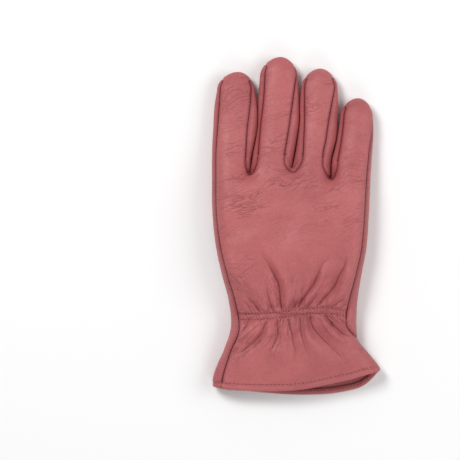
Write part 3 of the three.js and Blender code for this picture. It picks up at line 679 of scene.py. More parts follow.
for place, rows in enumerate(FINGER_ROWS):
    grids, away = row_sections(rows, place in (1, 2))
    front = SHEETS["middle_ring_front"] if place in (1, 2) else SHEETS["palm"]
    SHEETS["back"].add(grids["top"], away["top"], False)
    front.add(grids["under"], away["under"], True)
    front.add(grids["left"], away["left"], True)
    front.add(grids["right"], away["right"], False)


SNAP = 500  # points that agree to one part in this of a millimetre are shared


def join_sheets(sheets):
    """One list of points for all sheets, and each sheet's quads as point numbers."""
    points = np.concatenate([grid[0].reshape(-1, 3) for sheet in sheets.values() for grid in sheet.grids])
    away = np.concatenate([grid[1].reshape(-1) for sheet in sheets.values() for grid in sheet.grids])
    keys = np.round(points * SNAP).astype(np.int64)
    _, first, number = np.unique(keys, axis=0, return_index=True, return_inverse=True)
    number = number.reshape(-1)
    nearest = np.full(len(first), np.inf)
    np.minimum.at(nearest, number, away)
    quads, at = {}, 0
    for name, sheet in sheets.items():
        parts = []
        for grid, _, flip in sheet.grids:
            rows, columns = grid.shape[:2]
            ids = number[at:at + rows * columns].reshape(rows, columns)
            at += rows * columns
            corners = [ids[:-1, :-1], ids[:-1, 1:], ids[1:, 1:], ids[1:, :-1]]
            faces = np.stack(corners[::-1] if flip else corners, axis=-1).reshape(-1, 4)
            parts.append(faces)
        quads[name] = np.concatenate(parts)
    return points[first], nearest, quads


def triangles_of(quads):
    tris = np.concatenate([quads[:, [0, 1, 2]], quads[:, [0, 2, 3]]])
    good = (tris[:, 0] != tris[:, 1]) & (tris[:, 1] != tris[:, 2]) & (tris[:, 0] != tris[:, 2])
    return tris[good]


def point_normals(points, quads):
    tris = triangles_of(quads)
    a, b, c = (points[tris[:, k]] for k in range(3))
    normal = np.cross(b - a, c - a)
    total = np.zeros_like(points)
    for k in range(3):
        np.add.at(total, tris[:, k], normal)
    return total / np.maximum(np.linalg.norm(total, axis=1, keepdims=True), 1e-12)


def border_edges(quads):
    edges = set()
    for face in quads.tolist():
        ring = [k for i, k in enumerate(face) if k != face[i - 1]]
        if len(ring) > 2:
            edges.update(zip(ring, ring[1:] + ring[:1]))
    return [edge for edge in edges if (edge[1], edge[0]) not in edges]


def closed_wall(points, normals, quads, thickness, gap=SEAM_GAP):
    """A wall whose outer border is drawn in by half a seam gap, which its inner faces close."""
    border = border_edges(quads)
    inward = np.zeros_like(points)
    for p, q in border:
        edge = points[q] - points[p]
        edge = edge / max(np.linalg.norm(edge), 1e-9)
        inward[p] += np.cross(normals[p], edge)
        inward[q] += np.cross(normals[q], edge)
    size = np.linalg.norm(inward, axis=1, keepdims=True)
    gap = np.broadcast_to(gap, (len(points),))[:, None]
    inward = np.where(size > 1e-6, inward / np.maximum(size, 1e-9), 0)
    outer, inner = points + inward * gap / 2, points - inward * SEAM_LAP - thickness * normals
    used, local = np.unique(quads, return_inverse=True)
    local = local.reshape(quads.shape)
    count = len(used)
    verts = np.concatenate([outer[used], inner[used]])
    verts[:, 2] = np.maximum(verts[:, 2], 0)
    slot = {k: i for i, k in enumerate(used.tolist())}
    faces = []
    for face in local.tolist():
        ring = [k for i, k in enumerate(face) if k != face[i - 1]]
        if len(ring) > 2:
            faces.append(ring)
            faces.append([count + k for k in ring[::-1]])
    for p, q in border:
        a, b = slot[p], slot[q]
        faces.append([b, a, count + a, count + b])
    facing = np.concatenate([normals[used], -normals[used]])
    return verts, faces, np.concatenate([used, used]), dict(facing=facing, rim=len(border))


def new_piece(name, verts, faces, marks=None, facing=None, rim=0):
    """A smooth piece from points in millimetres; its last faces, the cut edge of the leather, are flat."""
    mesh = bpy.data.meshes.new(name)
    place = np.asarray(verts, float) + np.array([SHIFT[0], SHIFT[1], 0.0])
    mesh.from_pydata((place * MM).tolist(), [], faces)
    mesh.validate(clean_customdata=False)
    for key, values in (marks or {}).items():
        values = np.asarray(values, np.float32)
        kind, field = ("FLOAT", "value") if values.ndim == 1 else ("FLOAT_VECTOR", "vector")
        layer = mesh.attributes.new(key, kind, "POINT")
        layer.data.foreach_set(field, values.ravel())
    piece = bpy.data.objects.new(name, mesh)
    bpy.context.scene.collection.objects.link(piece)
    flat = np.zeros(len(mesh.polygons), bool)
    flat[len(flat) - rim:] = True
    mesh.polygons.foreach_set("use_smooth", ~flat)
    if facing is not None:
        corner = np.empty(len(mesh.loops), np.int32)
        mesh.loops.foreach_get("vertex_index", corner)
        corner_normals = facing[corner]
        sizes, own = np.empty(len(flat), np.int32), np.empty(len(flat) * 3, np.float32)
        mesh.polygons.foreach_get("loop_total", sizes)
        mesh.polygons.foreach_get("normal", own)
        own = np.repeat(own.reshape(-1, 3), sizes, axis=0)
        corner_normals = np.where(np.repeat(flat, sizes)[:, None], own, corner_normals)
        mesh.normals_split_custom_set(corner_normals.tolist())
    return piece


# Seams: both edges roll in, and the thread puckers them
ROLL_DEPTH = 0.95
ROLL_WIDTH = 2.0
PUCKER_DEPTH = 0.16
PUCKER_PITCH = 2.6
TIP_FLAT = 0.85         # share of the roll that is lost at a fingertip, and the reach of that
TIP_REACH = 4.5
SEAM_END = 1.6          # a side seam has ended this far from a fingertip, over a stretch of the next
SEAM_END_FADE = 1.4
ENDED_SEAM = 2.5        # distance to a seam that is given where it has ended
CROTCH_DEPTH = 0.85
CROTCH_WIDTH = 1.15
SUNK_BELOW = 0.35       # share of the roll that is left on the flat underside

POINTS, AWAY, QUADS = join_sheets(SHEETS)
ALL_QUADS = np.concatenate(list(QUADS.values()))
BASE_NORMALS = point_normals(POINTS, ALL_QUADS)


def crotch_place(x, y):
    """Signed distance to the nearest seam round a crotch, negative inside its loop."""
    place = np.full(np.shape(x), FAR_FROM_SEAM)
    for path in CROTCH_SEAMS:
        far = distance_to_path(x, y, path)
        signed = np.where(is_inside(x, y, path), -far, far)
        place = np.where(far < np.abs(place), signed, place)
    return place


ON_BACK = np.zeros(len(POINTS), bool)
ON_BACK[np.unique(QUADS["back"])] = True
CROTCH = np.where(ON_BACK, crotch_place(POINTS[:, 0], POINTS[:, 1]), FAR_FROM_SEAM)
crotch_roll = CROTCH_DEPTH * np.exp(-(CROTCH / CROTCH_WIDTH) ** 2)
above_floor = ease(POINTS[:, 2] / 2.0)
tip_ease = np.ones(len(POINTS))
for finger in FINGERS:
    reach = np.hypot(POINTS[:, 0] - finger["tip"][0], POINTS[:, 1] - finger["tip"][1])
    tip_ease *= 1 - TIP_FLAT * np.exp(-(reach / TIP_REACH) ** 2)
    AWAY = np.maximum(AWAY, ENDED_SEAM * (1 - ease((reach - SEAM_END) / SEAM_END_FADE)))
GAPS = np.where(ON_BACK & (AWAY > 0.5), 0.0, SEAM_GAP)
seam_roll = (1 - clamp(AWAY / ROLL_WIDTH)) ** 2
seam_pucker = np.cos(np.pi * POINTS[:, 1] / PUCKER_PITCH) ** 2 * np.exp(-AWAY / 1.3)
sunk = ROLL_DEPTH * seam_roll + PUCKER_DEPTH * seam_pucker + crotch_roll
sunk *= mix(SUNK_BELOW, 1.0, above_floor)
sunk *= tip_ease
SURFACE = POINTS - BASE_NORMALS * sunk[:, None]
SURFACE[:, 2] = np.maximum(SURFACE[:, 2], 0)
NORMALS = point_normals(SURFACE, ALL_QUADS)


HOLE_MARGIN = 0.36      # from the thumb's border to the edge of the hole
HOLE_TOP_STEPS = 33
HOLE_CEILING = 14       # what lies above this belongs to the back


def hole_loop():
    """Outline of the hole in the palm, round the base of the thumb."""
    at, rows = thumb_rows(THUMB_STEPS)
    base = at >= HOLE_ROW
    left = list(zip(rows["left"][base], rows["left_y"][base]))
    right = list(zip(rows["right"][base], rows["right_y"][base]))[::-1]
    across = np.linspace(1, 0, HOLE_TOP_STEPS)[1:-1]
    (ax, ay), (bx, by) = left[0], right[-1]
    sag = THUMB["sag"][HOLE_ROW] * 4 * across * (1 - across)
    top = list(zip(mix(ax, bx, across), mix(ay, by, across) - sag))
    loop = np.array(left + right + top)
    ahead, behind = np.roll(loop, -1, axis=0), np.roll(loop, 1, axis=0)
    along = ahead - behind
    away = np.stack([along[:, 1], -along[:, 0]], axis=1)
    return loop + away / np.maximum(np.linalg.norm(away, axis=1, keepdims=True), 1e-9) * HOLE_MARGIN


HOLE = hole_loop()


def cut_hole(points, quads):
    """Take the thumb hole out of the palm, and bring its border onto the outline of the hole."""
    x, y, z = (points[:, k] for k in range(3))
    near = distance_to_path(x, y, np.concatenate([HOLE, HOLE[:1]]))
    inside = is_inside(x, y, HOLE) & (z < HOLE_CEILING)
    keep = ~np.all(inside[quads], axis=1)
    quads = quads[keep]
    border = {k for edge in border_edges(quads) for k in edge}
    points = points.copy()
    loop = np.concatenate([HOLE, HOLE[:1]])
    for k in border:
        if not inside[k] or near[k] > 3:
            continue
        start, step = loop[:-1], loop[1:] - loop[:-1]
        along = clamp(((points[k, :2] - start) * step).sum(1) / (step ** 2).sum(1))
        foot = start + along[:, None] * step
        best = np.argmin(np.hypot(*(foot - points[k, :2]).T))
        points[k, :2] = foot[best]
    return points, quads


PALM_POINTS, QUADS["palm"] = cut_hole(SURFACE, QUADS["palm"])


# Where the fine creases spread from on the two sides of the elastic, and their spacing round it
FAN_MIDDLES = (-85.0, -45.0)
FAN_SPREAD = 46
FAN_APART = 300.0       # keeps the creases of the two fans from matching
LEVEL_SLOPE = 0.3       # the level creases rise to the right


def crease_flow(x, y):
    """Places along and across the fine creases, and how strong these are: level ones, and fans."""
    knuckles = bump_along(y, 22, 20)
    left_side = np.exp(-((x + 44) / 22) ** 2 - ((y + 25) / 26) ** 2)
    fingers = 0.35 * ease((y - 45) / 10)
    patch = 0.55 + 0.75 * noise(x, y, 17, 41) + 0.45 * noise(x, y, 8, 42)
    level = clamp(0.22 + 0.85 * np.maximum(knuckles, left_side) + fingers) * clamp(patch)
    bend_y = y - LEVEL_SLOPE * x + 5.0 * noise(x, y, 26, 43) + 2.0 * noise(x, y, 11, 44)
    upper = y > -60
    middle_y = np.where(upper, *FAN_MIDDLES)
    reach = np.hypot(x, y - middle_y)
    turn = np.arctan2(x, np.abs(y - middle_y) + 1e-6)
    gather = np.where(upper, 0.55 * ease((-14 - y) / 26), 0.85 * ease((y + 106) / 24))
    fan = clamp(gather * (0.75 + 0.7 * noise(x, y, 13, 45)))
    spread = turn * FAN_SPREAD + 1.6 * noise(x, y, 9, 46) + np.where(upper, 0.0, FAN_APART)
    flat = np.stack([x + 2.0 * noise(x, y, 12, 47), bend_y, level * (1 - 0.6 * gather)], axis=-1)
    return flat, np.stack([reach, spread, fan], axis=-1)


BAND_ENDS = (-39.6, 34.4)


def panel(name, points):
    """One panel of the glove, with what its leather needs to know of seams, creases and gathers."""
    verts, faces, source, shading = closed_wall(points, NORMALS, QUADS[name], LEATHER, GAPS)
    x, y = POINTS[source, 0], POINTS[source, 1]
    flat, fan = crease_flow(x, y)
    if name != "back":
        flat[:, 2] *= 0.5
        fan[:, 2] = 0
    away = past_elastic(x, y)
    on_band = (x > BAND_ENDS[0]) & (x < BAND_ENDS[1]) & (name == "back")
    band = np.stack([x, away, on_band * (1 - ease((np.abs(away) - 2.6) / 1.6))], axis=-1)
    seam = np.stack([AWAY[source], y + 0.4 * np.abs(x), CROTCH[source]], axis=-1)
    marks = dict(seam=seam, level_creases=flat, fan_creases=fan, elastic_band=band)
    if name == "back":
        # painted shade line along the bottom of each gather
        marks["gathers"] = fold_shade_line(x, y)
    return new_piece(name + "_leather", verts, faces, marks, **shading)


back = panel("back", SURFACE)
palm = panel("palm", PALM_POINTS)
middle_ring_front = panel("middle_ring_front", SURFACE)


# Thumb: lower layer over all rows, upper layer from the tip to the hole
def thumb_layer(upper):
    at, rows = thumb_rows(THUMB_STEPS)
    if upper:
        keep = at <= HOLE_ROW + 1e-6
        rows = {name: values[keep] for name, values in rows.items()}
    col = {name: values[:, None] for name, values in rows.items()}
    width = np.hypot(col["right"] - col["left"], col["right_y"] - col["left_y"])
    reach = np.minimum(THUMB_ROUND, width / 2)
    length = np.linspace(0, 1, THUMB_COLUMNS + 1)[None, :] * width
    near = plan_distance(length, reach)
    far = width - plan_distance(width - length, reach)
    across = np.where(length < width / 2, near, far) / width
    x = mix(col["left"], col["right"], across)
    y = mix(col["left_y"], col["right_y"], across) - col["sag"] * 4 * across * (1 - across)
    share = rounded(distance_to_path(x, y, THUMB_RIM) / THUMB_ROUND)
    relief = 0.35 * noise(x, y, 14, 31) + 0.2 * noise(x, y, 7, 32) + crease_height(x, y + 40)
    z = thumb_height(y) * mix(col["edge"], 1.0 if upper else 0.0, share)
    if not upper:
        z = z + np.maximum(relief, 0) * 0.5 * share
    return np.stack([x, y, z], axis=-1), np.minimum(length, width - length)


THUMB_BASE_Y = -14      # the thumb is sewn into the palm below this
THUMB_ROLL = 0.4


def build_thumb():
    sheet = Sheet()
    lower, lower_away = thumb_layer(False)
    upper, upper_away = thumb_layer(True)
    sheet.add(lower, lower_away, False)
    sheet.add(upper, upper_away, True)
    points, away, quads = join_sheets(dict(thumb=sheet))
    normals = point_normals(points, quads["thumb"])
    in_base = points[:, 1] < THUMB_BASE_Y
    away = np.where(in_base, away, FAR_FROM_SEAM)
    points = points - normals * (THUMB_ROLL * (1 - clamp(away / ROLL_WIDTH)) ** 2)[:, None]
    verts, faces, source, shading = closed_wall(points, normals, quads["thumb"], LEATHER)
    x, y = points[source, 0], points[source, 1]
    flat, fan = crease_flow(x, y - 30)
    flat[:, 2] *= 0.6
    fan[:, 2] = 0
    seam = np.stack([away[source], y, np.full(len(x), FAR_FROM_SEAM)], axis=-1)
    band = np.zeros((len(x), 3))
    marks = dict(seam=seam, level_creases=flat, fan_creases=fan, elastic_band=band)
    return new_piece("thumb_leather", verts, faces, marks, **shading)


thumb = build_thumb()


# Rolled edge of the cuff: a rounded rim that follows the mouth
RIM_UNDER = 1.0         # how far it runs on behind the panels, along the glove
RIM_PROFILE = [
    (0.0, -1.1), (0.12, -0.62), (0.45, -0.2), (0.95, 0.1), (1.6, 0.2), (2.4, 0.18), (3.0, 0.06), (3.4, -0.1),
    (3.75, -0.45), (4.6, -0.9), (4.6, -1.35), (3.9, -1.75), (3.5, -2.15), (2.9, -2.4), (1.6, -2.45),
    (0.95, -2.35), (0.45, -2.05), (0.12, -1.6),
]


def edge_loops(quads):
    """Closed rings of a strip's border, in order."""
    follow = dict(border_edges(quads))
    loops = []
    while follow:
        start = next(iter(follow))
        ring = [start]
        while follow.get(ring[-1]) is not None:
            ahead = follow.pop(ring[-1])
            if ahead == start:
                break
            ring.append(ahead)
        loops.append(ring)
    return loops


def build_binding():
    """Hem folded to the inside: its outer face runs on from the leather, its inner one is free."""
    loops = edge_loops(QUADS["cuff_binding"])
    loops.sort(key=lambda ring: POINTS[ring, 1].mean())
    mouth, upper = loops[0], set(loops[1])
    above = {}
    for face in QUADS["cuff_binding"].tolist():
        for i, k in enumerate(face):
            if face[i - 1] in upper:
                above.setdefault(k, face[i - 1])
            if k in upper:
                above.setdefault(face[i - 1], k)
    profile = np.array(RIM_PROFILE)
    full = profile[:, 0].max() - RIM_UNDER
    rings = []
    for k in mouth:
        low = POINTS[k]
        high = POINTS[above[k]]
        axis = high - low
        height = np.linalg.norm(axis)
        axis = axis / height
        normal = BASE_NORMALS[k] - axis * np.dot(BASE_NORMALS[k], axis)
        normal = normal / np.linalg.norm(normal)
        up = np.where(profile[:, 0] > full, profile[:, 0] - full + height, profile[:, 0] / full * height)
        rings.append(low + np.outer(up, axis) + np.outer(profile[:, 1], normal))
    sides = len(profile)
    count = len(rings)
    verts = np.array(rings).reshape(-1, 3)
    verts[:, 2] = np.maximum(verts[:, 2], 0)
    faces = []
    for i in range(count):
        a, b = i * sides, ((i + 1) % count) * sides
        for j in range(sides):
            k = (j + 1) % sides
            faces.append([a + j, a + k, b + k, b + j])
    far = np.full(len(verts), FAR_FROM_SEAM)
    flat, fan = crease_flow(verts[:, 0], verts[:, 1])
    flat[:, 2] *= 0.5
    fan[:, 2] = 0
    marks = dict(seam=np.stack([far, far, far], axis=-1), level_creases=flat, fan_creases=fan,
                 elastic_band=np.zeros((len(verts), 3)))
    piece = new_piece("cuff_rolled_edge", verts, faces, marks)
    face_outwards(piece)
    return piece


def face_outwards(piece):
    build = bmesh.new()
    build.from_mesh(piece.data)
    bmesh.ops.recalc_face_normals(build, faces=build.faces)
    build.to_mesh(piece.data)
    build.free()


cuff_edge = build_binding()


def surface_tree(pieces):
    """Search tree over the outer faces of the finished pieces, in millimetres of the glove's plan."""
    verts, faces = [], []
    for piece in pieces:
        start = len(verts)
        for vertex in piece.data.vertices:
            x, y, z = vertex.co
            verts.append((x / MM - SHIFT[0], y / MM - SHIFT[1], z / MM))
        faces += [[start + k for k in face.vertices] for face in piece.data.polygons]
    return BVHTree.FromPolygons(verts, faces)


LEATHER_TREE = surface_tree([back, palm, middle_ring_front, cuff_edge])


def on_surface(x, y, start_z):
    start = Vector((x, y, start_z))
    hit, normal, _, _ = LEATHER_TREE.ray_cast(start, Vector((0, 0, 1 if start_z < 0 else -1)))
    return hit, normal


# Stitches: short rounded lengths of thread that dip into a needle hole at both ends
ABOVE, BELOW, INSIDE = 60.0, -20.0, 7.0  # heights from which a row is laid on the nearest surface
ELASTIC_STITCH = 2.1    # pitch of the two rows over the elastic
HOLE_SIDES = 8
HOLE_RISE = 0.05        # height of the dimple of painted hole shade above the leather, and its depth below
HOLE_DEPTH = 0.3
PRESSED_FLAT = -0.3     # stitches under the glove are squeezed against what it lies on
SIDE_ROWS = (1.6, 3.4)  # short rows beside the side seam at the cuff, from the edge
THUMB_ROWS = (2.3, 5.2)  # double row round the base of the thumb, from its border
HEM_ROW = 4.8           # row on the hem, from the mouth, on the outside and on the inside
HEM_ROW_INSIDE = 3.5


def stitch_shape(length, radius, sides=6, steps=6):
    """One stitch along X: thick in its middle, thin and sunk at both ends."""
    verts, faces = [], []
    for i in range(steps + 1):
        along = (i / steps - 0.5) * length
        share = 1 - (2 * i / steps - 1) ** 2
        thick = radius * (0.45 + 0.55 * math.sqrt(share))
        sink = radius * (1.25 * share - 0.75)
        for j in range(sides):
            turn = 2 * math.pi * j / sides
            verts.append((along, thick * math.cos(turn), thick * math.sin(turn) + sink))
    for i in range(steps):
        for j in range(sides):
            k = (j + 1) % sides
            faces.append([i * sides + j, (i + 1) * sides + j, (i + 1) * sides + k, i * sides + k])
    faces.append(list(range(sides)))
    faces.append(list(range(steps * sides, (steps + 1) * sides))[::-1])
    return np.array(verts), faces


def hole_shape(radius):
    """A low dimple round a needle hole, dark as painted shade inside the hole."""
    turn = np.linspace(0, 2 * np.pi, HOLE_SIDES, endpoint=False)
    ring = np.stack([np.cos(turn) * radius, np.sin(turn) * radius, 0 * turn + HOLE_RISE], axis=1)
    base = ring * np.array([1.0, 1.0, 0.0]) - np.array([0.0, 0.0, HOLE_DEPTH])
    faces = [list(range(HOLE_SIDES)), list(range(2 * HOLE_SIDES - 1, HOLE_SIDES - 1, -1))]
    for i in range(HOLE_SIDES):
        j = (i + 1) % HOLE_SIDES
        faces.append([j, i, HOLE_SIDES + i, HOLE_SIDES + j])
    return np.concatenate([ring, base]), faces


class Gathered:
    """Shapes of one kind that are joined into one piece."""

    def __init__(self):
        self.verts = []
        self.faces = []

    def add(self, verts, faces):
        start = len(self.verts)
        self.verts += np.asarray(verts).tolist()
        self.faces += [[start + k for k in face] for face in faces]

    def piece(self, name):
        verts = np.array(self.verts)
        verts[:, 2] = np.maximum(verts[:, 2], PRESSED_FLAT)
        made = new_piece(name, verts, self.faces)
        face_outwards(made)
        return made


HOLE_SHADES = Gathered()
STEP_ASIDE = (-0.05, 0.05)


def stitch_row(thread, path, pitch, length, radius, start_z=ABOVE, slant=0.0, hole=0.34):
    """Stitches at an even pitch along a plan path, laid on the surface, each turned by a slant."""
    path = np.array(path, float)
    steps = np.linalg.norm(np.diff(path, axis=0), axis=1)
    reach = np.concatenate([[0], np.cumsum(steps)])
    count = max(1, int(reach[-1] / pitch))
    shape, shape_faces = stitch_shape(length, radius)
    dimple, dimple_faces = hole_shape(hole)
    outwards = Vector((0, 0, -1 if start_z == BELOW else 1))
    for i in range(count):
        at = (i + 0.5) * pitch
        ends = np.array([[np.interp(at + d, reach, path[:, k]) for k in (0, 1)] for d in STEP_ASIDE])
        middle = ends.mean(axis=0)
        heading = (ends[1] - ends[0]) / np.linalg.norm(ends[1] - ends[0])
        c, n = math.cos(slant), math.sin(slant)
        heading = np.array([c * heading[0] - n * heading[1], n * heading[0] + c * heading[1]])
        spots = [on_surface(*(middle + side * length * heading), start_z) for side in (-0.5, 0.5)]
        if spots[0][0] is None or spots[1][0] is None or (spots[0][0] - spots[1][0]).length > 2 * length:
            continue
        along = (spots[1][0] - spots[0][0]).normalized()
        ups = [normal if normal.dot(outwards) > 0 else -normal for _, normal in spots]
        up = (ups[0] + ups[1]).normalized()
        across = up.cross(along).normalized()
        up = along.cross(across)
        frame_of = np.array([along, across, up])
        thread.add(shape @ frame_of + np.array((spots[0][0] + spots[1][0]) / 2), shape_faces)
        # a dimple of painted hole shade at both ends of each stitch
        for spot, _ in spots:
            HOLE_SHADES.add(dimple @ frame_of + np.array(spot), dimple_faces)


def table_line(places, values, start, end, offset, count=90):
    """Plan path along a table's curve, moved by an offset along the glove."""
    x = np.linspace(start, end, count)
    return list(zip(x, smooth(places, values, x) + offset))


def build_stitches():
    elastic, hem, thumb_base, side = Gathered(), Gathered(), Gathered(), Gathered()
    for offset in (ELASTIC_ROW, -ELASTIC_ROW):
        path = table_line(ELASTIC["x"], ELASTIC["y"], -39.2, 34.0, offset)
        stitch_row(elastic, path, pitch=ELASTIC_STITCH, length=1.25, radius=0.3)
    path = table_line(MOUTH["x"], MOUTH["back"], -57.0, 55.5, HEM_ROW)
    stitch_row(hem, path, pitch=2.8, length=1.7, radius=0.3)
    path = table_line(MOUTH["x"], MOUTH["palm"], -53.0, 50.0, HEM_ROW)
    stitch_row(hem, path, pitch=2.8, length=1.7, radius=0.3, start_z=BELOW)
    path = table_line(MOUTH["x"], MOUTH["palm"], 2.0, 55.0, HEM_ROW_INSIDE)
    stitch_row(hem, path, pitch=2.0, length=1.5, radius=0.34, start_z=INSIDE, slant=0.9, hole=0.42)
    at, rows = thumb_rows(2 * THUMB_STEPS)
    base = at >= HOLE_ROW + 0.05
    left = list(zip(rows["left"][base], rows["left_y"][base]))
    right = list(zip(rows["right"][base], rows["right_y"][base]))[::-1]
    loop = np.array(left + right)
    along = np.gradient(loop, axis=0)
    away = np.stack([along[:, 1], -along[:, 0]], axis=1)
    away = away / np.linalg.norm(away, axis=1, keepdims=True)
    for offset in THUMB_ROWS:
        stitch_row(thumb_base, loop + away * offset, pitch=2.7, length=1.8, radius=0.32, start_z=BELOW)
    side_y = np.linspace(-109.5, -89.5, 60)
    side_x = smooth(HAND_LEFT["y"], HAND_LEFT["edge"], side_y)
    for offset in SIDE_ROWS:
        path = list(zip(side_x + offset, side_y))
        stitch_row(side, path, pitch=2.9, length=0.9, radius=0.2, hole=0.26)
    return [
        elastic.piece("elastic_stitches"), hem.piece("hem_stitches"),
        thumb_base.piece("thumb_stitches"), side.piece("side_stitches"),
    ]


def seam_shade_over_hem():
    """The side seam runs on over the hem as a dark line of dimples: painted shade of its groove."""
    dimple, faces = hole_shape(0.27)
    for y in np.arange(-113.6, -108.4, 0.3):
        spot, _ = on_surface(-51.9 + 0.05 * (y + 108), y, ABOVE)
        if spot is not None:
            HOLE_SHADES.add(dimple + np.array(spot), faces)


seam_shade_over_hem()
stitches = build_stitches()
# Dark dimples of painted shade in the needle holes and along the seam over the hem
needle_holes = HOLE_SHADES.piece("needle_holes")


# Elastic inside the back of the wrist, ribbed along its length
ELASTIC_HALF_WIDTH = 3.2
ELASTIC_GAP = 1.5       # from the inside of the back to the elastic
ELASTIC_THICKNESS = 1.0
ELASTIC_RIB = 0.12


def build_elastic(steps=150, across_steps=16):
    x = np.linspace(ELASTIC["x"][0], ELASTIC["x"][-1], steps + 1)
    middle = smooth(ELASTIC["x"], ELASTIC["y"], x)
    verts = []
    upper = LEATHER + ELASTIC_GAP
    for side, depth in ((1, upper), (-1, upper + ELASTIC_THICKNESS)):
        for j in range(across_steps + 1):
            y = middle + mix(-ELASTIC_HALF_WIDTH, ELASTIC_HALF_WIDTH, j / across_steps)
            z = top_height(x, y) - depth + ELASTIC_RIB * side * np.cos(np.pi * j)
            verts += np.stack([x, y, z], axis=1).tolist()
    count = steps + 1
    layer = count * (across_steps + 1)
    faces = []
    for j in range(across_steps):
        for i in range(steps):
            a = j * count + i
            faces.append([a, a + 1, a + count + 1, a + count])
            faces.append([layer + a, layer + a + count, layer + a + count + 1, layer + a + 1])
    for i in range(steps):
        last = across_steps * count + i
        faces.append([i + 1, i, layer + i, layer + i + 1])
        faces.append([last, last + 1, layer + last + 1, layer + last])
    for j in range(across_steps):
        a, b = j * count, (j + 1) * count
        faces.append([a, b, layer + b, layer + a])
        faces.append([b + steps, a + steps, layer + a + steps, layer + b + steps])
    piece = new_piece("wrist_elastic_band", verts, faces)
    face_outwards(piece)
    return piece


elastic_band = build_elastic()


# Shared shader groups
def new_group(name, inputs, outputs):
    """A shader group with named sockets, and its two end nodes."""
    group = bpy.data.node_groups.new(name, "ShaderNodeTree")
    for label, kind, value in inputs:
        socket = group.interface.new_socket(name=label, in_out="INPUT", socket_type=kind)
        if value is not None:
            socket.default_value = value
    for label, kind in outputs:
        group.interface.new_socket(name=label, in_out="OUTPUT", socket_type=kind)
    return group, group.nodes.new("NodeGroupInput"), group.nodes.new("NodeGroupOutput")


def node(tree, kind, links=None, **settings):
    """A shader node whose sockets are linked to outputs or set to values."""
    made = tree.nodes.new(kind)
    for key, value in settings.items():
        setattr(made, key, value)
    for socket, source in (links or {}).items():
        if hasattr(source, "is_output"):
            tree.links.new(source, made.inputs[socket])
        else:
            made.inputs[socket].default_value = source
    return made


def math_node(tree, operation, *values):
    made = tree.nodes.new("ShaderNodeMath")
    made.operation = operation
    for i, value in enumerate(values):
        if hasattr(value, "is_output"):
            tree.links.new(value, made.inputs[i])
        else:
            made.inputs[i].default_value = value
    return made.outputs[0]


# Depths that the groups give, in millimetres before each material scales them
PEBBLE_DEPTH = 0.16
PORE_DEPTH = 0.22
CREASE_CUT = 0.3
CREASE_SWELL = 1.6


def grain_group():
    """Pebbled grain of smooth cowhide as a height, in millimetres."""
    group, given, out = new_group(
        "leather_grain",
        [("Vector", "NodeSocketVector", None), ("Scale", "NodeSocketFloat", 1100.0)],
        [("Height", "NodeSocketFloat")],
    )
    vector = given.outputs["Vector"]
    pebble = node(group, "ShaderNodeTexVoronoi", {
        "Vector": vector, "Scale": given.outputs["Scale"], "Randomness": 1.0}, feature="SMOOTH_F1")
    pores = node(group, "ShaderNodeTexNoise", {
        "Vector": vector, "Scale": 700.0, "Detail": 4.0, "Roughness": 0.65})
    fine = math_node(group, "MULTIPLY", pebble.outputs["Distance"], -PEBBLE_DEPTH)
    height = math_node(group, "MULTIPLY_ADD", pores.outputs["Fac"], PORE_DEPTH, fine)
    group.links.new(height, out.inputs["Height"])
    return group


def crease_group():
    """Long thin creases along a flow, which holds the places along and across it and their strength."""
    group, given, out = new_group(
        "flow_creases",
        [("Flow", "NodeSocketVector", None), ("Length", "NodeSocketFloat", 11.0),
         ("Spacing", "NodeSocketFloat", 3.0), ("Width", "NodeSocketFloat", 0.05)],
        [("Lines", "NodeSocketFloat"), ("Height", "NodeSocketFloat")],
    )
    parts = node(group, "ShaderNodeSeparateXYZ", {0: given.outputs["Flow"]})
    along = math_node(group, "DIVIDE", parts.outputs[0], given.outputs["Length"])
    across = math_node(group, "DIVIDE", parts.outputs[1], given.outputs["Spacing"])
    spot = node(group, "ShaderNodeCombineXYZ", {0: along, 1: across, 2: 0.0})
    field = node(group, "ShaderNodeTexNoise", {
        "Vector": spot.outputs[0], "Scale": 1.0, "Detail": 2.0, "Roughness": 0.45, "Distortion": 0.25})
    level = math_node(group, "SUBTRACT", field.outputs["Fac"], 0.5)
    away = math_node(group, "ABSOLUTE", level)
    line = node(group, "ShaderNodeMapRange", {
        "Value": away, "From Min": 0.0, "From Max": given.outputs["Width"], "To Min": 1.0, "To Max": 0.0},
        interpolation_type="SMOOTHSTEP")
    gaps = node(group, "ShaderNodeTexNoise", {"Vector": spot.outputs[0], "Scale": 0.37, "Detail": 1.0})
    shown = node(group, "ShaderNodeMapRange", {
        "Value": gaps.outputs["Fac"], "From Min": 0.4, "From Max": 0.6}, interpolation_type="SMOOTHSTEP")
    lines = math_node(group, "MULTIPLY", line.outputs[0], math_node(
        group, "MULTIPLY", shown.outputs[0], parts.outputs[2]))
    swell = math_node(group, "MULTIPLY", math_node(group, "MULTIPLY", away, CREASE_SWELL), parts.outputs[2])
    height = math_node(group, "MULTIPLY_ADD", lines, -CREASE_CUT, swell)
    group.links.new(lines, out.inputs["Lines"])
    group.links.new(height, out.inputs["Height"])
    return group


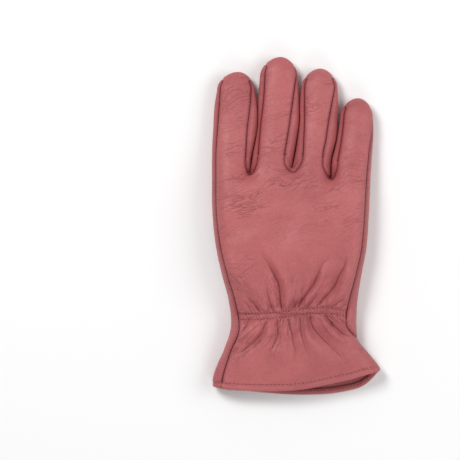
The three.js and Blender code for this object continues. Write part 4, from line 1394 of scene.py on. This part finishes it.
def seam_shade_and_crinkle_group():
    """Painted shade of a seam, with the crinkle heights inside a crotch: a dark line in its groove, broader
    shade beside it, and dark ticks where each stitch puckers the edge. Seam holds the distance to the joint,
    the place along it, and the distance to the seam round a crotch, negative inside its loop."""
    group, given, out = new_group(
        "seam_shade_and_crinkle",
        [("Seam", "NodeSocketVector", None), ("Pitch", "NodeSocketFloat", 1.75)],
        [("Line", "NodeSocketFloat"), ("Shade", "NodeSocketFloat"), ("Pucker_Tick_Shade", "NodeSocketFloat"),
         ("Crinkle", "NodeSocketFloat")],
    )
    parts = node(group, "ShaderNodeSeparateXYZ", {0: given.outputs["Seam"]})
    crotch = math_node(group, "ABSOLUTE", parts.outputs[2])
    away = math_node(group, "MINIMUM", parts.outputs[0], crotch)
    line = node(group, "ShaderNodeMapRange", {
        "Value": away, "From Min": 0.1, "From Max": 0.55, "To Min": 1.0, "To Max": 0.0},
        interpolation_type="SMOOTHSTEP")
    shade = node(group, "ShaderNodeMapRange", {
        "Value": away, "From Min": 0.4, "From Max": 2.0, "To Min": 1.0, "To Max": 0.0})
    beats = math_node(group, "DIVIDE", parts.outputs[1], given.outputs["Pitch"])
    turn = math_node(group, "MULTIPLY", beats, 2 * math.pi)
    beat = node(group, "ShaderNodeMapRange", {
        "Value": math_node(group, "COSINE", turn), "From Min": 0.1, "From Max": 0.8})
    reach = node(group, "ShaderNodeMapRange", {
        "Value": away, "From Min": 0.7, "From Max": 1.5, "To Min": 1.0, "To Max": 0.0})
    tick_shade = math_node(group, "MULTIPLY", beat.outputs[0], reach.outputs[0])
    group.links.new(line.outputs[0], out.inputs["Line"])
    group.links.new(shade.outputs[0], out.inputs["Shade"])
    group.links.new(tick_shade, out.inputs["Pucker_Tick_Shade"])
    inside = node(group, "ShaderNodeMapRange", {
        "Value": parts.outputs[2], "From Min": -1.0, "From Max": -2.6, "To Min": 0.0, "To Max": 1.0})
    crinkle = math_node(group, "MULTIPLY", math_node(group, "COSINE", turn), inside.outputs[0])
    group.links.new(crinkle, out.inputs["Crinkle"])
    return group


def mottle_group():
    """Uneven take-up of the dye: a mask from 0, pale, to 1, deep."""
    group, given, out = new_group(
        "dye_mottle",
        [("Vector", "NodeSocketVector", None), ("Scale", "NodeSocketFloat", 28.0)],
        [("Mask", "NodeSocketFloat")],
    )
    broad = node(group, "ShaderNodeTexNoise", {
        "Vector": given.outputs["Vector"], "Scale": given.outputs["Scale"], "Detail": 5.0, "Roughness": 0.6})
    small = node(group, "ShaderNodeTexNoise", {
        "Vector": given.outputs["Vector"], "Scale": 420.0, "Detail": 3.0, "Roughness": 0.7})
    both = math_node(group, "MULTIPLY_ADD", small.outputs["Fac"], 0.45, math_node(
        group, "MULTIPLY", broad.outputs["Fac"], 0.75))
    mask = node(group, "ShaderNodeMapRange", {
        "Value": both, "From Min": 0.42, "From Max": 0.78, "To Min": 0.0, "To Max": 1.0})
    group.links.new(mask.outputs[0], out.inputs["Mask"])
    return group


GRAIN = grain_group()
CREASES = crease_group()
SEAM_SHADE_AND_CRINKLE = seam_shade_and_crinkle_group()
MOTTLE = mottle_group()


def use_group(tree, group, links):
    made = tree.nodes.new("ShaderNodeGroup")
    made.node_tree = group
    for socket, source in links.items():
        if hasattr(source, "is_output"):
            tree.links.new(source, made.inputs[socket])
        else:
            made.inputs[socket].default_value = source
    return made


def new_material(name, color):
    material = bpy.data.materials.new(name)
    material.use_nodes = True
    material.diffuse_color = (*color, 1)
    tree = material.node_tree
    return material, tree, tree.nodes["Principled BSDF"]


def mix_color(tree, factor, a, b):
    made = tree.nodes.new("ShaderNodeMix")
    made.data_type = "RGBA"
    for i, value in ((0, factor), (6, a), (7, b)):
        if hasattr(value, "is_output"):
            tree.links.new(value, made.inputs[i])
        else:
            made.inputs[i].default_value = value if i == 0 else (*value, 1)
    return made.outputs[2]


PALE_ROSE = (0.500, 0.131, 0.134)
DEEP_ROSE = (0.386, 0.094, 0.099)
# Painted shade colours for seams, creases and gathers
SEAM_SHADE_MAROON = (0.190, 0.018, 0.026)
PAINTED_SHADE_ROSE = (0.250, 0.048, 0.055)
GATHER_SHADE_MAROON = (0.180, 0.026, 0.032)
THREAD_ROSE = (0.540, 0.190, 0.190)
THREAD_DEEP = (0.360, 0.090, 0.095)
# Painted shade inside the needle holes
HOLE_SHADE_MAROON = (0.085, 0.012, 0.016)
ELASTIC_PALE = (0.520, 0.400, 0.380)
ELASTIC_DEEP = (0.340, 0.250, 0.240)
FLOOR_WHITE = (0.92, 0.92, 0.92)
BAND_RIDGE = 0.32       # height of the ridges between the two rows over the elastic


def attribute(tree, name):
    return node(tree, "ShaderNodeAttribute", attribute_name=name).outputs["Vector"]


def band_height(tree):
    """Small ridges that the stitches pull up between the two rows over the elastic."""
    parts = node(tree, "ShaderNodeSeparateXYZ", {0: attribute(tree, "elastic_band")})
    turn = math_node(tree, "MULTIPLY", parts.outputs[0], 2 * math.pi / ELASTIC_STITCH)
    wave = math_node(tree, "MULTIPLY", math_node(tree, "COSINE", turn), parts.outputs[2])
    return math_node(tree, "MULTIPLY", wave, BAND_RIDGE)


def gather_shade_line(tree):
    """Painted shade along the sharp bottom of the gathers."""
    parts = node(tree, "ShaderNodeSeparateXYZ", {0: attribute(tree, "gathers")})
    line = node(tree, "ShaderNodeMapRange", {
        "Value": math_node(tree, "ABSOLUTE", parts.outputs[0]), "From Min": 0.1, "From Max": 0.95,
        "To Min": 1.0, "To Max": 0.0}, interpolation_type="SMOOTHSTEP")
    return math_node(tree, "MULTIPLY", line.outputs[0], parts.outputs[1])


CREASE_SHADE_SHARE = 0.5      # how far each painted shade takes the dyed colour to its own: in creases, in gathers, beside seams, at puckers
GATHER_SHADE_SHARE = 0.85
SEAM_SHADE_SHARE = 0.3
PUCKER_SHADE_SHARE = 0.55
GRAIN_SHARE = 0.8       # how much of the grain's and of the crotch crinkles' height is used
CRINKLE_SHARE = 0.3


def leather_material(name, roughness):
    material, tree, shader = new_material(name, DEEP_ROSE)
    place = tree.nodes.new("ShaderNodeTexCoord").outputs["Object"]
    grain = use_group(tree, GRAIN, {"Vector": place})
    mottle = use_group(tree, MOTTLE, {"Vector": place})
    level = use_group(tree, CREASES, {"Flow": attribute(tree, "level_creases")})
    fan = use_group(tree, CREASES, {
        "Flow": attribute(tree, "fan_creases"), "Length": 16.0, "Spacing": 2.4, "Width": 0.06})
    seam = use_group(tree, SEAM_SHADE_AND_CRINKLE, {"Seam": attribute(tree, "seam")})
    lines = math_node(tree, "MAXIMUM", level.outputs["Lines"], fan.outputs["Lines"])
    color = mix_color(tree, mottle.outputs["Mask"], PALE_ROSE, DEEP_ROSE)
    gather = gather_shade_line(tree)
    # Painted shade: the fine creases darken the dyed colour
    color = mix_color(tree, math_node(tree, "MULTIPLY", lines, CREASE_SHADE_SHARE), color, PAINTED_SHADE_ROSE)
    # Painted shade: a dark line along the bottom of each gather
    color = mix_color(tree, math_node(tree, "MULTIPLY", gather, GATHER_SHADE_SHARE), color, GATHER_SHADE_MAROON)
    # Painted shade beside each seam
    shade = math_node(tree, "MULTIPLY", seam.outputs["Shade"], SEAM_SHADE_SHARE)
    color = mix_color(tree, shade, color, PAINTED_SHADE_ROSE)
    # Painted shade: dark ticks where each stitch puckers the seam's edge
    ends = math_node(tree, "MULTIPLY", seam.outputs["Pucker_Tick_Shade"], PUCKER_SHADE_SHARE)
    color = mix_color(tree, ends, color, SEAM_SHADE_MAROON)
    # Painted shade: a dark line in the groove of each seam
    color = mix_color(tree, seam.outputs["Line"], color, SEAM_SHADE_MAROON)
    tree.links.new(color, shader.inputs["Base Color"])
    rough = node(tree, "ShaderNodeMapRange", {
        "Value": mottle.outputs["Mask"], "To Min": roughness - 0.05, "To Max": roughness + 0.08})
    tree.links.new(rough.outputs[0], shader.inputs["Roughness"])
    height = math_node(tree, "MULTIPLY_ADD", grain.outputs["Height"], GRAIN_SHARE, level.outputs["Height"])
    height = math_node(tree, "ADD", height, fan.outputs["Height"])
    height = math_node(tree, "ADD", height, band_height(tree))
    height = math_node(tree, "MULTIPLY_ADD", seam.outputs["Crinkle"], CRINKLE_SHARE, height)
    bump = node(tree, "ShaderNodeBump", {"Height": height, "Strength": 1.0, "Distance": 0.001})
    tree.links.new(bump.outputs[0], shader.inputs["Normal"])
    shader.inputs["Specular IOR Level"].default_value = 0.42
    return material


def thread_material():
    material, tree, shader = new_material("stitch_thread", THREAD_ROSE)
    place = tree.nodes.new("ShaderNodeTexCoord").outputs["Object"]
    mottle = use_group(tree, MOTTLE, {"Vector": place, "Scale": 300.0})
    color = mix_color(tree, mottle.outputs["Mask"], THREAD_ROSE, THREAD_DEEP)
    tree.links.new(color, shader.inputs["Base Color"])
    shader.inputs["Roughness"].default_value = 0.7
    return material


def elastic_material():
    material, tree, shader = new_material("woven_elastic", ELASTIC_PALE)
    place = tree.nodes.new("ShaderNodeTexCoord").outputs["Object"]
    weave = node(tree, "ShaderNodeTexWave", {"Vector": place, "Scale": 160.0, "Distortion": 0.6})
    color = mix_color(tree, weave.outputs["Fac"], ELASTIC_PALE, ELASTIC_DEEP)
    tree.links.new(color, shader.inputs["Base Color"])
    bump = node(tree, "ShaderNodeBump", {
        "Height": weave.outputs["Fac"], "Strength": 0.5, "Distance": 0.0003})
    tree.links.new(bump.outputs[0], shader.inputs["Normal"])
    shader.inputs["Roughness"].default_value = 0.85
    return material


def hole_shade_material():
    # Dark colour of the dimples: painted shade inside each needle hole
    material, _, shader = new_material("needle_hole", HOLE_SHADE_MAROON)
    shader.inputs["Base Color"].default_value = (*HOLE_SHADE_MAROON, 1)
    shader.inputs["Roughness"].default_value = 0.9
    return material


leather = leather_material("rose_leather", 0.5)
edge_leather = leather_material("rolled_edge_leather", 0.46)
thread = thread_material()
hole_shade = hole_shade_material()
elastic_cloth = elastic_material()

for piece in (back, palm, middle_ring_front, thumb):
    piece.data.materials.append(leather)
cuff_edge.data.materials.append(edge_leather)
for piece in stitches:
    piece.data.materials.append(thread)
needle_holes.data.materials.append(hole_shade)
elastic_band.data.materials.append(elastic_cloth)

for piece, node_name, slot in (
    (back, "back", "leather"),
    (palm, "palm", "leather"),
    (middle_ring_front, "middle_ring_front", "leather"),
    (thumb, "thumb", "leather"),
    (cuff_edge, "cuff_binding", "binding_leather"),
    (elastic_band, "wrist_elastic", "elastic"),
):
    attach(piece, "root")
    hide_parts(node_name)
for piece in stitches + [needle_holes]:
    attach(piece, "root")


# Floor, light and camera
PIXEL = 0.69            # millimetres of the glove's plan to a pixel of the photograph
PHOTO_SIZE = 460        # pixels
PHOTO_MIDDLE = (-45.9, -2.8)
CAMERA_HEIGHT = 2000.0
PLAN_HEIGHT = 10        # height of the glove at which that scale holds
SENSOR = 36             # width of the camera's sensor
FLOOR_SIZE = 6.0        # metres from here on
FLOOR_Z = -0.0004
WORLD_LIGHT = 0.32
SOFTBOXES = [
    dict(name="softbox_above", place=(-0.62, 0.62, 1.15), size=0.5, power=12.4),
    dict(name="softbox_right", place=(1.0, 0.1, 0.9), size=0.8, power=6.6),
    dict(name="softbox_front", place=(0.2, -1.1, 0.7), size=0.8, power=3.7),
]


def build_floor():
    bpy.ops.object.select_all(action="DESELECT")
    bpy.ops.mesh.primitive_plane_add(size=FLOOR_SIZE, location=(0, 0, FLOOR_Z))
    floor = bpy.context.object
    floor.name = "floor"
    material, _, shader = new_material("pale_floor", FLOOR_WHITE)
    shader.inputs["Base Color"].default_value = (*FLOOR_WHITE, 1)
    shader.inputs["Roughness"].default_value = 0.9
    floor.data.materials.append(material)
    floor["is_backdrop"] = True


def softbox(name, place, size, power):
    """A square light that faces the glove."""
    light = bpy.data.lights.new(name, "AREA")
    light.shape = "SQUARE"
    light.size = size
    light.energy = power
    lamp = bpy.data.objects.new(name, light)
    bpy.context.scene.collection.objects.link(lamp)
    lamp.location = place
    lamp.rotation_euler = (-Vector(place)).to_track_quat("-Z", "Y").to_euler()


def build_light():
    world = bpy.data.worlds.new("studio")
    bpy.context.scene.world = world
    world.use_nodes = True
    background = world.node_tree.nodes["Background"]
    background.inputs["Color"].default_value = (1, 1, 1, 1)
    background.inputs["Strength"].default_value = WORLD_LIGHT
    for values in SOFTBOXES:
        softbox(**values)
    bpy.context.scene.view_settings.view_transform = "Standard"


def build_camera():
    data = bpy.data.cameras.new("camera")
    camera = bpy.data.objects.new("camera", data)
    bpy.context.scene.collection.objects.link(camera)
    x, y = PHOTO_MIDDLE
    camera.location = ((x + SHIFT[0]) * MM, (y + SHIFT[1]) * MM, CAMERA_HEIGHT * MM)
    data.sensor_width = SENSOR
    data.sensor_fit = "HORIZONTAL"
    data.lens = SENSOR * (CAMERA_HEIGHT - PLAN_HEIGHT) / (PIXEL * PHOTO_SIZE)
    data.clip_end = 20
    bpy.context.scene.camera = camera


build_floor()
build_light()
build_camera()

sizes = dict(cad_box=[list(map(float, corner)) for corner in CAD_BOX],
             visual_box=[list(map(float, corner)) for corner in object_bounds()])
